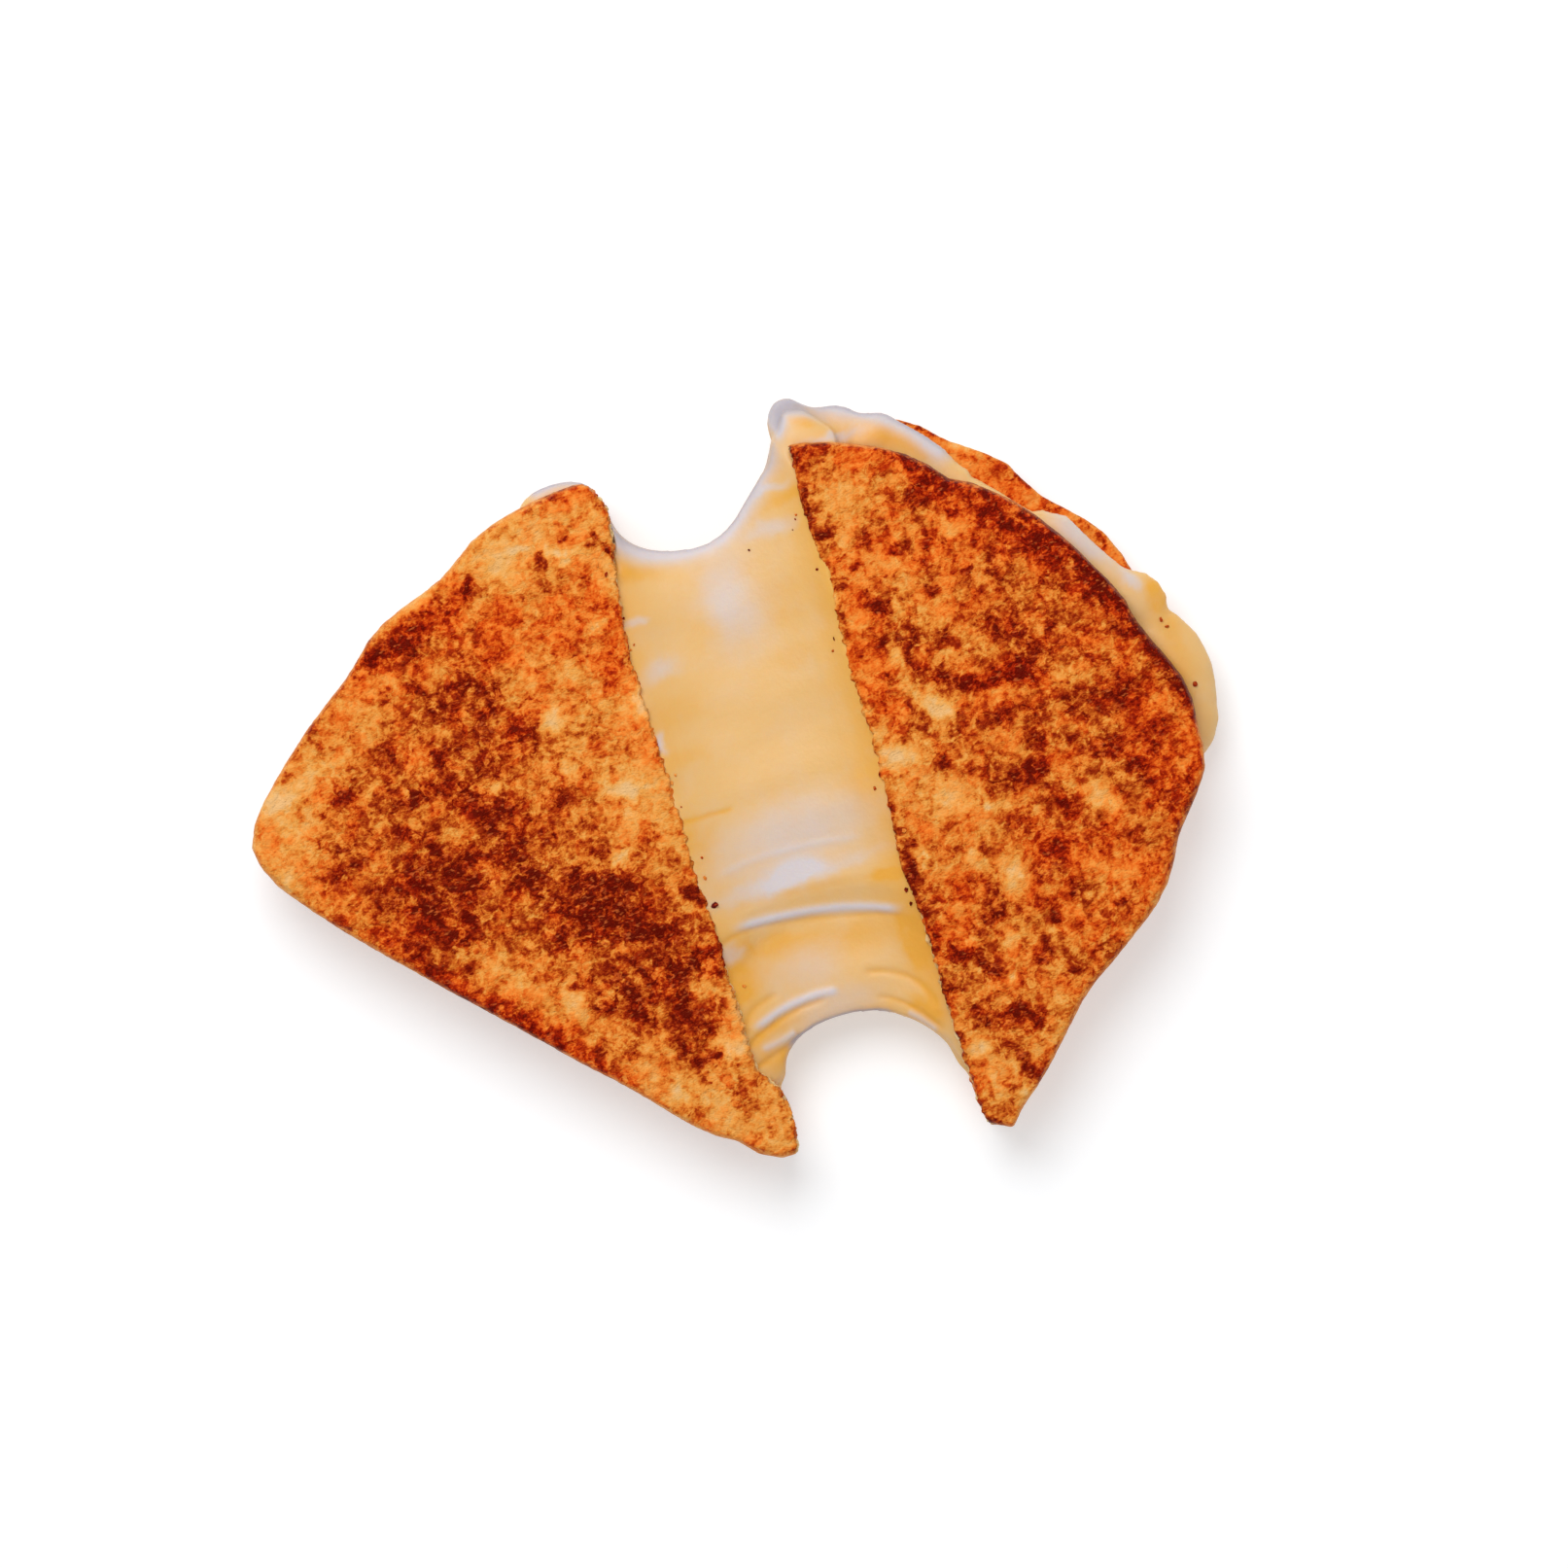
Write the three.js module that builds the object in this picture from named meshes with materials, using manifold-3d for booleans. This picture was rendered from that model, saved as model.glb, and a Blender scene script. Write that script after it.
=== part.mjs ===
// A grilled cheese sandwich, cut in two and pulled apart until the cheese stretches between the
// halves. Sizes are in millimetres. +X runs along the pull, +Y along the cut and +Z up, with the
// origin on the table under the middle of the sandwich.

import * as THREE from 'three';
import { mergeVertices } from 'three/addons/utils/BufferGeometryUtils.js';
import Module from 'manifold-3d';

const wasm = await Module();
wasm.setup();

// Heights of the stack: toast, cheese, toast.
const SLICE = 11;
const SEAM = 5;
const SEAM_TOP = SLICE + SEAM;
const TOP = SEAM_TOP + SLICE;

// Clear space between pieces that touch.
const GAP = 0.3;

// Rounded crust of a slice: how far it curves in, over what height and in how many steps. The left
// lower slice is a little smaller than the upper one.
const CRUST = { width: 3, height: 4, steps: 3 };
const LOWER_LEFT_INSET = 1.2;

// Crags of the toasted faces: their height, the share of it that is one broad swell, and the
// spacing of the grid that holds them.
const CRAG_HEIGHT = 0.55;
const CRAG_SWELL = 0.3;
const CRAG_GRID = 4.6;

// Rim of the cheese in a seam: its rounding, and how it wanders behind the crust.
const SEAM_RIM = { width: 1.4, height: 2, steps: 1 };
const SEAM_INSET = 0.9;
const SEAM_WANDER = 1;

// The stretched sheet between the halves: its heights in the middle, how far it climbs and drops
// where it holds on to a cut face, and how square its free edges are.
const SHEET_TOP = 19.5;
const SHEET_BOTTOM = 14;
const SHEET_CLIMB = 6.3;
const SHEET_DROP = 4.5;
const SHEET_EDGE = 0.4;
const SHEET_SIDES = 40;
const SHEET_RIBS = 20;

// The sheet steps down across a fold, placed as a share of the way from its lower free edge, and
// ripples run along the pull.
const FOLD = { place: 0.235, width: 0.03, drop: 2.2 };
const RIPPLE = { height: 0.45, count: 3.7, swell: 1.4, slant: 0.06 };

// Fineness of the outlines, cut lines and lobes, and the shortest length kept.
const OUTLINE_STEP = 5.2;
const CUT_STEPS = 30;
const LOBE_SIDES = 16;
const LOBE_RINGS = 9;
const FINEST = 0.02;

// Half the size of the blanks that the slices are cut from.
const BLANK = 130;

// Crust of each half as it was before the cut: each outline runs on past the cut line.
const LEFT_CRUST = [
  [-15, 78], [-38.1, 74], [-47.6, 67.9], [-61.8, 62.7], [-66.8, 60], [-74, 53.5], [-83.8, 46.8],
  [-94.5, 37.9], [-101.8, 30.6], [-104.9, 25.4], [-103.8, 18], [-92.7, 2.6], [-80.9, -10.4],
  [-60.8, -31.4], [-50.3, -42.5], [-42, -50.9], [-34.2, -59.8], [-30.4, -63.8], [-24.3, -67.7],
  [-19.8, -72.4], [-12.5, -74.4], [-3, -68], [0, -40], [0, 50], [-5, 75],
];
const RIGHT_CRUST = [
  [36.3, 71.3], [51.9, 64.9], [59.2, 59], [62.3, 55], [66.3, 52.9], [77.5, 42.3], [91, 18],
  [91.8, 13.2], [98, -3.3], [97.6, -12], [96.5, -21.2], [86.2, -34], [82.6, -40.7],
  [78.6, -45.5], [67.1, -53.7], [57.3, -60.1], [49.6, -67.8], [42.3, -74.9], [36, -79.8],
  [33.4, -82.9], [28.9, -80.8], [16, -60], [16, 60], [24, 72.2],
];
const RIGHT_LOWER_CRUST = [
  [36, 75.5], [57.4, 70.2], [64.4, 63.7], [70.8, 58.9], [76.2, 54.1], [79.7, 47], [84.8, 41.4],
  [89.7, 36.3], [93.3, 29.6], [98, -2], [96.5, -16], [93, -25], [85.7, -33.8], [82, -40.8],
  [78, -45.1], [66.6, -53.2], [56.8, -59.6], [49, -67.3], [35.4, -79.3], [32.9, -82.2],
  [28.9, -80.2], [16, -60], [16, 60], [24, 74],
];

// The two cut lines, from the lower tips to the upper ones.
const LEFT_CUT = [
  [-15.5, -81], [-12.2, -72], [-11.7, -60.5], [-15.5, -55], [-16, -38.5], [-14.7, -20],
  [-15.2, -11], [-14.7, 6], [-14.2, 42.5], [-11, 62], [-10.1, 67], [-9.7, 72], [-11.2, 75.6],
  [-14.5, 78.6], [-20, 84],
];
const RIGHT_CUT = [
  [30.5, -90], [28.1, -79], [27.6, -60], [28.1, -33], [28.1, -17], [29.6, 10], [29.3, 19.5],
  [30.8, 39.5], [31, 57], [31.6, 70], [31.6, 84],
];

// Cheese between the right-hand slices, out to where it shows past the upper one.
const RIGHT_CHEESE = [
  [30, 80.7], [32, 82.5], [35.5, 82], [39, 78.9], [46.5, 75.8], [53.5, 71.8], [57.2, 69.4],
  [60.7, 65.5], [63.8, 61.8],
  [65, 58.4], [71.8, 51.6], [78, 44.2], [80.2, 42.2], [84, 40.4], [87, 35], [92.8, 25.6],
  [97, 20], [99, 0], [95.5, -20.5], [84.5, -33.5], [80, -42], [65.5, -52.3], [48.5, -66.8],
  [32, -81], [24, -76], [20, -50], [20, 60],
];

// Lobes of cheese run out over the edge: middle, and half of the length, width and height.
const OOZE_LOBES = [
  { at: [33.3, 75.8, 13], reach: [5, 7, 4.6] },
  { at: [41, 72, 13.2], reach: [8, 6.4, 3.8] },
  { at: [49.5, 68.7, 13.4], reach: [7, 5.4, 3.4] },
  { at: [90.5, 16.5, 13], reach: [9.7, 8.7, 3.6] },
  { at: [91, -0.5, 12], reach: [14.3, 18.2, 5.6] },
  { at: [92, -7, 11.6], reach: [12, 13.8, 5.6] },
  { at: [-20, 75.4, 13.5], reach: [9, 4.7, 3.4] },
];

// Ends of the ribs of the sheet, from inside the left half to inside the right half.
const SHEET_LOWER_EDGE = [
  [-28, -56.5], [-19, -58.5], [-11.3, -59.5], [-9.3, -54.6], [-5.9, -51.2], [0.3, -49.3],
  [8, -49.3], [15, -51.3], [21.1, -55.8], [25.2, -61.6], [27.2, -69.8], [34, -73.5], [42, -65.5],
];
const SHEET_UPPER_EDGE = [
  [-28, 64.5], [-19, 66.5], [-10.2, 70], [-8.8, 65], [-4.9, 60.8], [2, 58.1], [9, 57.7],
  [14.4, 59.8], [19.9, 64.5], [25.5, 69.5], [28.9, 75.3], [34, 82], [42, 74.5],
];

const TOAST_LEFT = { color: 0xb5682a, roughness: 0.85, metalness: 0 };
const TOAST_RIGHT = { color: 0xa85a22, roughness: 0.85, metalness: 0 };
const TOAST_LOWER = { color: 0xbd7434, roughness: 0.85, metalness: 0 };
const MELTED_CHEESE = { color: 0xecc07a, roughness: 0.35, metalness: 0 };

// ---- Solids and surfaces ----

function solid(geometry) {
  const bare = new THREE.BufferGeometry();
  bare.setAttribute('position', geometry.getAttribute('position'));
  bare.setIndex(geometry.getIndex());
  const merged = mergeVertices(bare, FINEST / 100);
  const vertProperties = merged.getAttribute('position').array;
  const triVerts = Uint32Array.from(merged.getIndex().array);
  return new wasm.Manifold(new wasm.Mesh({ numProp: 3, vertProperties, triVerts }));
}

function surface(body, rounded = (length) => length) {
  const { vertProperties, triVerts } = body.getMesh();
  const geometry = new THREE.BufferGeometry();
  geometry.setAttribute('position', new THREE.BufferAttribute(vertProperties.map(rounded), 3));
  geometry.setIndex(new THREE.BufferAttribute(triVerts, 1));
  return geometry;
}

// A named piece. Its corners are rounded to the finest length, so that no two all but meet.
function piece(name, body, finish) {
  const rounded = surface(body, (length) => Math.round(length / FINEST) * FINEST);
  const geometry = surface(solid(rounded));
  geometry.computeVertexNormals();
  const mesh = new THREE.Mesh(geometry, new THREE.MeshStandardMaterial(finish));
  mesh.name = name;
  return mesh;
}

// ---- Outlines ----

function smoothLine(points, closed = false) {
  return new THREE.CatmullRomCurve3(points.map(([x, y]) => new THREE.Vector3(x, y, 0)), closed);
}

function flat(spots) {
  return spots.map(({ x, y }) => new THREE.Vector2(x, y));
}

function closedOutline(points) {
  const line = smoothLine(points, true);
  const count = Math.round(line.getLength() / OUTLINE_STEP);
  return flat(line.getSpacedPoints(count).slice(0, -1));
}

// An outline, counterclockwise, moved inwards by an amount that may differ from place to place.
function inset(outline, amountAt) {
  return outline.map((spot, i) => {
    const before = outline.at(i - 1);
    const after = outline[(i + 1) % outline.length];
    const along = after.clone().sub(before).normalize();
    const inwards = new THREE.Vector2(-along.y, along.x);
    return spot.clone().addScaledVector(inwards, amountAt(i));
  });
}

// ---- Blanks ----

// An upright block on an outline, with its upper and lower edges rounded inwards. With a margin it
// is larger all round by that much.
function roundedBlock(outline, from, to, rim, margin = 0) {
  const geometry = new THREE.ExtrudeGeometry(new THREE.Shape(outline), {
    depth: to - from - 2 * rim.height,
    bevelThickness: rim.height + margin,
    bevelSize: rim.width,
    bevelOffset: margin - rim.width,
    bevelSegments: rim.steps,
  });
  geometry.translate(0, 0, from + rim.height);
  return solid(geometry);
}

// Everything on a half's own side of its cut line, and past the line by a margin.
function sideOfCut({ cut, outwards }, margin = 0) {
  const line = smoothLine(cut.map(([x, y]) => [x - outwards * margin, y]));
  const shape = new THREE.Shape(flat(line.getSpacedPoints(CUT_STEPS)));
  shape.lineTo(outwards * BLANK, cut.at(-1)[1]);
  shape.lineTo(outwards * BLANK, cut[0][1]);
  const geometry = new THREE.ExtrudeGeometry(shape, { depth: BLANK, bevelEnabled: false });
  geometry.translate(0, 0, -BLANK / 2);
  return solid(geometry);
}

// A level layer, whose upper face may carry a relief over a grid.
function layer(from, to, relief = null) {
  const cells = relief ? Math.round((2 * BLANK) / CRAG_GRID) : 1;
  const geometry = new THREE.BoxGeometry(2 * BLANK, 2 * BLANK, to - from, cells, cells, 1);
  geometry.translate(0, 0, (from + to) / 2);
  const spots = geometry.getAttribute('position');
  for (let i = 0; relief && i < spots.count; i += 1) {
    if (spots.getZ(i) > (from + to) / 2) {
      spots.setZ(i, to + relief(spots.getX(i), spots.getY(i)));
    }
  }
  return solid(geometry);
}

// ---- Toast ----

// Height of a crag: a broad swell, and on it a seeded draw for each place.
function crag(x, y) {
  const swell = Math.sin(x * 0.11 + 1.3 * Math.sin(y * 0.07));
  const draw = THREE.MathUtils.seededRandom(Math.round(x) * 521 + Math.round(y));
  return CRAG_HEIGHT * (CRAG_SWELL * swell + (1 - CRAG_SWELL) * (2 * draw - 1));
}

// Crust rounded above, crags on top, the face on the cheese flat and the cut face upright.
function upperSlice(half, margin = 0) {
  const block = roundedBlock(half.upper, SEAM_TOP - CRUST.height, TOP + CRAG_HEIGHT, CRUST, margin);
  const height = layer(SEAM_TOP - margin, TOP - CRAG_HEIGHT + margin, crag);
  return block.intersect(height).intersect(sideOfCut(half, margin));
}

// Crust rounded underneath, both faces flat and the cut face upright.
function lowerSlice(half, margin = 0) {
  const block = roundedBlock(half.lower, 0, SLICE + CRUST.height, CRUST, margin);
  const height = layer(-margin, SLICE + margin);
  return block.intersect(height).intersect(sideOfCut(half, margin));
}

// ---- Cheese ----

// The sheet is a drum pressed flat: round it go the two faces and the two free edges, and along it
// the ribs go from one half to the other.
function stretchedSheet() {
  const lower = smoothLine(SHEET_LOWER_EDGE);
  const upper = smoothLine(SHEET_UPPER_EDGE);
  const middle = (SHEET_TOP + SHEET_BOTTOM) / 2;
  const half = (SHEET_TOP - SHEET_BOTTOM) / 2;
  const geometry = new THREE.CylinderGeometry(1, 1, 1, SHEET_SIDES, SHEET_RIBS);
  const spots = geometry.getAttribute('position');
  for (let i = 0; i < spots.count; i += 1) {
    const along = spots.getY(i) + 0.5;
    const across = (1 - spots.getX(i)) / 2;
    const turn = spots.getZ(i);
    const place = lower.getPoint(along).lerp(upper.getPoint(along), across);
    const face = Math.sign(turn) * Math.abs(turn) ** SHEET_EDGE;
    const hold = holdOnCut(place.x) * (turn > 0 ? SHEET_CLIMB : SHEET_DROP);
    const height = middle + face * (half + hold) - foldDrop(across) + ripple(across, place.x);
    spots.setXYZ(i, place.x, place.y, height);
  }
  return solid(geometry);
}

// From 0 midway between the cut lines to 1 at either of them.
function holdOnCut(x) {
  const left = LEFT_CUT[Math.floor(LEFT_CUT.length / 2)][0];
  const right = RIGHT_CUT[Math.floor(RIGHT_CUT.length / 2)][0];
  const share = Math.abs(2 * x - left - right) / (right - left);
  return Math.min(share, 1) ** 3;
}

function foldDrop(across) {
  const start = FOLD.place - FOLD.width;
  const end = FOLD.place + FOLD.width;
  return FOLD.drop * (1 - THREE.MathUtils.smoothstep(across, start, end));
}

function ripple(across, x) {
  const turn = 2 * Math.PI * across;
  const wave = Math.sin(RIPPLE.count * turn + RIPPLE.slant * x);
  return RIPPLE.height * wave * Math.sin(RIPPLE.swell * turn);
}

function seamCheese(half) {
  return roundedBlock(half.cheese, SLICE, SEAM_TOP, SEAM_RIM).intersect(sideOfCut(half));
}

function lobe({ at, reach }) {
  const geometry = new THREE.SphereGeometry(1, LOBE_SIDES, LOBE_RINGS);
  geometry.rotateX(Math.PI / 2);
  geometry.scale(...reach);
  geometry.translate(...at);
  return solid(geometry);
}

// All the cheese in one, kept clear of the four slices.
function meltedCheese(halves) {
  const blobs = [...halves.map(seamCheese), ...OOZE_LOBES.map(lobe)];
  const whole = blobs.reduce((joined, blob) => joined.add(blob), stretchedSheet());
  const rooms = halves.flatMap((half) => [upperSlice(half, GAP), lowerSlice(half, GAP)]);
  return rooms.reduce((rest, room) => rest.subtract(room), whole);
}

// ---- The sandwich ----

const leftOutline = closedOutline(LEFT_CRUST);
const left = {
  cut: LEFT_CUT,
  outwards: -1,
  upper: leftOutline,
  lower: inset(leftOutline, () => LOWER_LEFT_INSET),
  cheese: inset(leftOutline, (i) => SEAM_INSET + SEAM_WANDER * Math.sin(0.9 * i) * Math.sin(0.37 * i)),
};
const right = {
  cut: RIGHT_CUT,
  outwards: 1,
  upper: closedOutline(RIGHT_CRUST),
  lower: closedOutline(RIGHT_LOWER_CRUST),
  cheese: closedOutline(RIGHT_CHEESE),
};

const sandwich = new THREE.Group();
sandwich.add(
  piece('toast_upper_left', upperSlice(left), TOAST_LEFT),
  piece('toast_upper_right', upperSlice(right), TOAST_RIGHT),
  piece('toast_lower_left', lowerSlice(left), TOAST_LOWER),
  piece('toast_lower_right', lowerSlice(right), TOAST_LOWER),
  piece('cheese', meltedCheese([left, right]), MELTED_CHEESE),
);

export default sandwich;
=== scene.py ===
"""Dresses the CAD frame of a grilled cheese sandwich, pulled apart, in toast and melted cheese.

Blender's own lengths are metres. Places and sizes that are written here are millimetres in the
frame of the part: +X along the pull, +Y along the cut, +Z up.
"""

import math

import bmesh
import bpy
import numpy as np
from bpy.props import FloatProperty, FloatVectorProperty, IntProperty, PointerProperty
from mathutils import Matrix, Vector, noise
from mathutils.bvhtree import BVHTree


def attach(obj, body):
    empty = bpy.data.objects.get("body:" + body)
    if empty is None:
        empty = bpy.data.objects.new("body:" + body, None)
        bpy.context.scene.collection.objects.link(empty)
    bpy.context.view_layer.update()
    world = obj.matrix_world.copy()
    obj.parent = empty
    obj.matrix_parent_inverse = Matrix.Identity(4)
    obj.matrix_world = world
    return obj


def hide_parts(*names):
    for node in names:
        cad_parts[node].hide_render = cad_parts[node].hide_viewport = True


bl_info = {
    "name": "Grilled Cheese Sandwich",
    "version": (1, 0, 0),
    "blender": (4, 5, 0),
    "location": "3D View > Sidebar > Sandwich",
    "description": "Builds the toast, melted cheese and crumbs of a pulled-apart sandwich",
    "category": "Object",
}

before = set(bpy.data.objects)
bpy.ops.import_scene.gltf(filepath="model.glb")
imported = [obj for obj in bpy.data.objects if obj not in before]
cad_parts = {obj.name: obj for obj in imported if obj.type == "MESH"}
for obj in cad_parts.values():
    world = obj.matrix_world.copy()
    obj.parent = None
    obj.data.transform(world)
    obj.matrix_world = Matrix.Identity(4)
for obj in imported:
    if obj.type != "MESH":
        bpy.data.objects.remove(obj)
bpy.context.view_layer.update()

MM = 0.001
BODY = "root"

# CAD node, name of the piece that stands for it, its material slot, and its material.
SLICES = (
    ("toast_upper_left", "crisp_toast_left", "toast_left", "Crisp Toast Left"),
    ("toast_upper_right", "crisp_toast_right", "toast_right", "Crisp Toast Right"),
    ("toast_lower_left", "under_toast_left", "toast_under", "Under Toast"),
    ("toast_lower_right", "under_toast_right", "toast_under", "Under Toast"),
)
CHEESE = "stretched_cheese"

# Where each half was cut: which way its cut face looks along X, and the X it stays within.
CUT_FACES = {"left": (1, -24), "right": (-1, 38)}

# Where the upper edge of a cut is frayed outwards: middle y, half of the length, and how far.
FRAYS = {"left": [(-43, 8, 0.9)], "right": [(57, 8, 0.9), (-22, 8, 1.1)]}

# ---- Marks of the pan ----

# Ovals on the toasted face: middle x and y, half of the length, half of the width, and the turn of
# the length from +X in degrees. A turn of 0 is left out, the width too if the mark is round, and
# the length too if it is SMALL. They are listed under how much browner than its surroundings the
# toast is there; below 0 it is paler.
SMALL = 2
MARK_EDGE = 1.4  # how abruptly a mark ends
SCORCHED, BROWNED, WARMED, TINTED, GOLDEN, BARE = 0.42, 0.22, 0.13, 0.03, -0.14, -0.36

LEFT_MARKS = {}
LEFT_MARKS[SCORCHED] = [
    (-44, 64.2, 1.5, 2), (-60, 57.5, 2.5, 1.2, 20), (-14.3, 65.5, 1.6, 2), (-12, 62, 1, 1.8, 20),
    (-57, 21.2, 2, 1.2, 20), (-55, 16.5, 4.5, 1.1, -72), (-52.5, 6, 2.4), (-67.5, 13, 1.6, 4, 15),
    (-65.5, 6.5, 2.2, 2.6), (-61, 3, 2, 1.2), (-71.5, 4, 2, 1.5), (-75, 1.5, 2.2, 1.3),
    (-73.5, -3, 2, 3, 20), (-70, -7.2, 4.5, 1.5), (-63.8, -4, 1.3, 3, -10), (-40, -2.3, 1.8, 2.6),
    (-36, -5.8, 6.5, 1.9, -10), (-42, -10.5, 2.6, 3.4), (-36.8, -11.5, 1.8, 2.6, 20),
    (-31, -9.5, 2.5, 2, 30), (-32.5, -15, 3.2, 2.8, -30), (-28.3, -19, 3.4, 1.9, -15),
    (-17, -14, 1.8, 2.6, 10), (-16.6, -26.8, 2.4, 3.4, 10), (-17.6, -31.3, 2.2, 1, -10),
    (-36.3, -32.5, 2.4, 4.6, 10), (-24, -42, 3, 1.5, -20), (-33.5, -25.5, 5, 0.9, -58),
    (-54.5, 10.5, 1.8, 2.6),
]
LEFT_MARKS[BROWNED] = [
    (-60, 58, 11, 2.6, 22), (-66, 57, 3.6, 2, 10), (-27.3, 64.5, 1.3, 2.1),
    (-18.5, 77.8, 5, 1.4, -4), (-20.8, 68, 1, 0.8), (-50, 49.8, 1.3, 2.2),
    (-42.5, 48.5, 2.3, 1.8, 30), (-60.5, 45.5, 3.2, 1.1, -45), (-51, 43.5, 4, 2.4, -15),
    (-58, 40.5, 3, 1.2), (-46, 41, 3.2, 1.2), (-49, 35, 2.1, 4.4, -10), (-43.5, 32.5, 2.2, 3.6, 20),
    (-40.3, 28.3, 2.8, 2.2, 20), (-46.5, 28, 1.8), (-70, 35, 1.8), (-83, 29.3, 4.5, 2),
    (-60, 30.5, 6, 1.8, 5), (-66, 24, 10, 1.9, 3), (-70, 22.6, 4, 1.4), (-50, 16.5, 3.4, 2.6),
    (-72.5, 17, 1.3, 3, 20), (-89.5, 13, 4.4, 2.2), (-83, 14.2, 2.2, 1.2), (-61, 7.8, 2.8, 1.8),
    (-48.5, 9, 1.4, 2.2), (-42.4, 7.6, 2.8, 1.9, -20), (-39.5, 14.3, 4, 1.5, -8), (-34, 2, 2, 1.6),
    (-78.2, -6, 2.2, 3.2, 30), (-70, -1, 7, 5), (-53.6, -1, 1.5, 1.4), (-48, 0, 3.4, 1.4, -40),
    (-24, -21, 3.6, 2.4, -10), (-23, -27.5, 3.8, 3.6), (-18.6, -22, 2.6, 1.4), (-26.5, -33, 2.6, 6),
    (-28, -38, 3.4, 2.6), (-21, -40, 2, 1.6), (-35, -34, 3.4, 4), (-48.5, 1, 3, 3.4),
    (-47, -7, 3.4, 4), (-72, 9, 2.6, 3.4), (-28, -13, 3, 2.4), (-52, 26, 2.6, 3),
    (-60, 54, 4.4, 2.6, 20), (-61, 1, 2.6, 2.4), (-43, -31.8, 2.6, 1.3, -20), (-47, -25.2, 2, 0.9),
    (-29.6, -43, 2.4), (-27.6, -47.4, 3.4, 1.5, -25), (-24.5, -48.6, 2.6, 1),
    (-26.8, -52.6, 1.9, 1.2), (-20.3, -57.8, 3.8, 1.5), (-20.5, -63.2, 1.2, 1),
    (-17, -67.8, 2.6, 1.2), (-40, -17, 5, 3, -10), (-59.5, -31, 27, 3.4, -47), (-22, -49),
    (-46, 38, 2, 2.4), (-40, 32, 2, 2.4), (-70, 8, 2, 2.4), (-67, -9.5, 3, 1.4),
]
LEFT_MARKS[WARMED] = [
    (-46, -14, 3.6, 3.4), (-29, -25, 2.8), (-46, -40.5, 3.4, 2.6, -47), (-38, -42.5, 3, 2.8),
    (-38, -31, 2.4, 2.8), (-20, -60, 2.8, 2.4), (-29, -59, 2.4, 2, -40), (-57, 18, 4),
    (-64, 40, 2.4, 3), (-57, 8, 16, 8), (-49, -5, 8, 7), (-56, 24, 9, 8), (-71, 30, 4),
    (-85, 19, 5), (-24, -46, 4, 3.4), (-38, -10, 8, 6, -15), (-28, -26, 8, 7, -30), (-79, 3, 5, 6),
    (-72, -13, 6, 4, -40), (-38, -32, 5, 4), (-33, 0, 3, 2), (-39, -42, 4, 2.6), (-53, 46, 3),
    (-56, 38, 3), (-73, 17, 3), (-91, 35, 3, 2, 35), (-25, 65, 1.6, 2), (-16, 71),
    (-85, -4, 4, 2.4, -40), (-70, 2, 2.4, 2), (-91, 12.5, 2.4, 2), (-16, 51, 2, 3), (-22, -19),
    (-79, 17, 3), (-19, -7, 2.4, 3), (-38, -27, 3, 4), (-55, 56, 3, 2.4), (-37, 19, 4, 2.4),
    (-40, 14), (-43, 62), (-82, 5, 3), (-49, -15, 3, 2.4), (-73, 26, 2.4), (-70, 38, 3, 2),
    (-19, -61, 2.4, 2), (-34, -34), (-52, 38, 2.4, 2), (-58, 29, 2.4, 2), (-40, -31, 2.4, 2),
    (-52.5, 2), (-22, -13, 2, 2.4), (-79, 4, 1.6, 3), (-49, 35), (-35, -31), (-46, -13, 2.4, 2),
    (-94, 20), (-16, 38, 1.6, 2), (-46, 41), (-46, -25), (-12, -50, 1.4, 2), (-13, -37, 1.4, 2),
    (-25, -37), (-91, 2), (-31, -55, 2, 1.6, -40), (-61, -19, 2, 1.6, -40),
]
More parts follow.
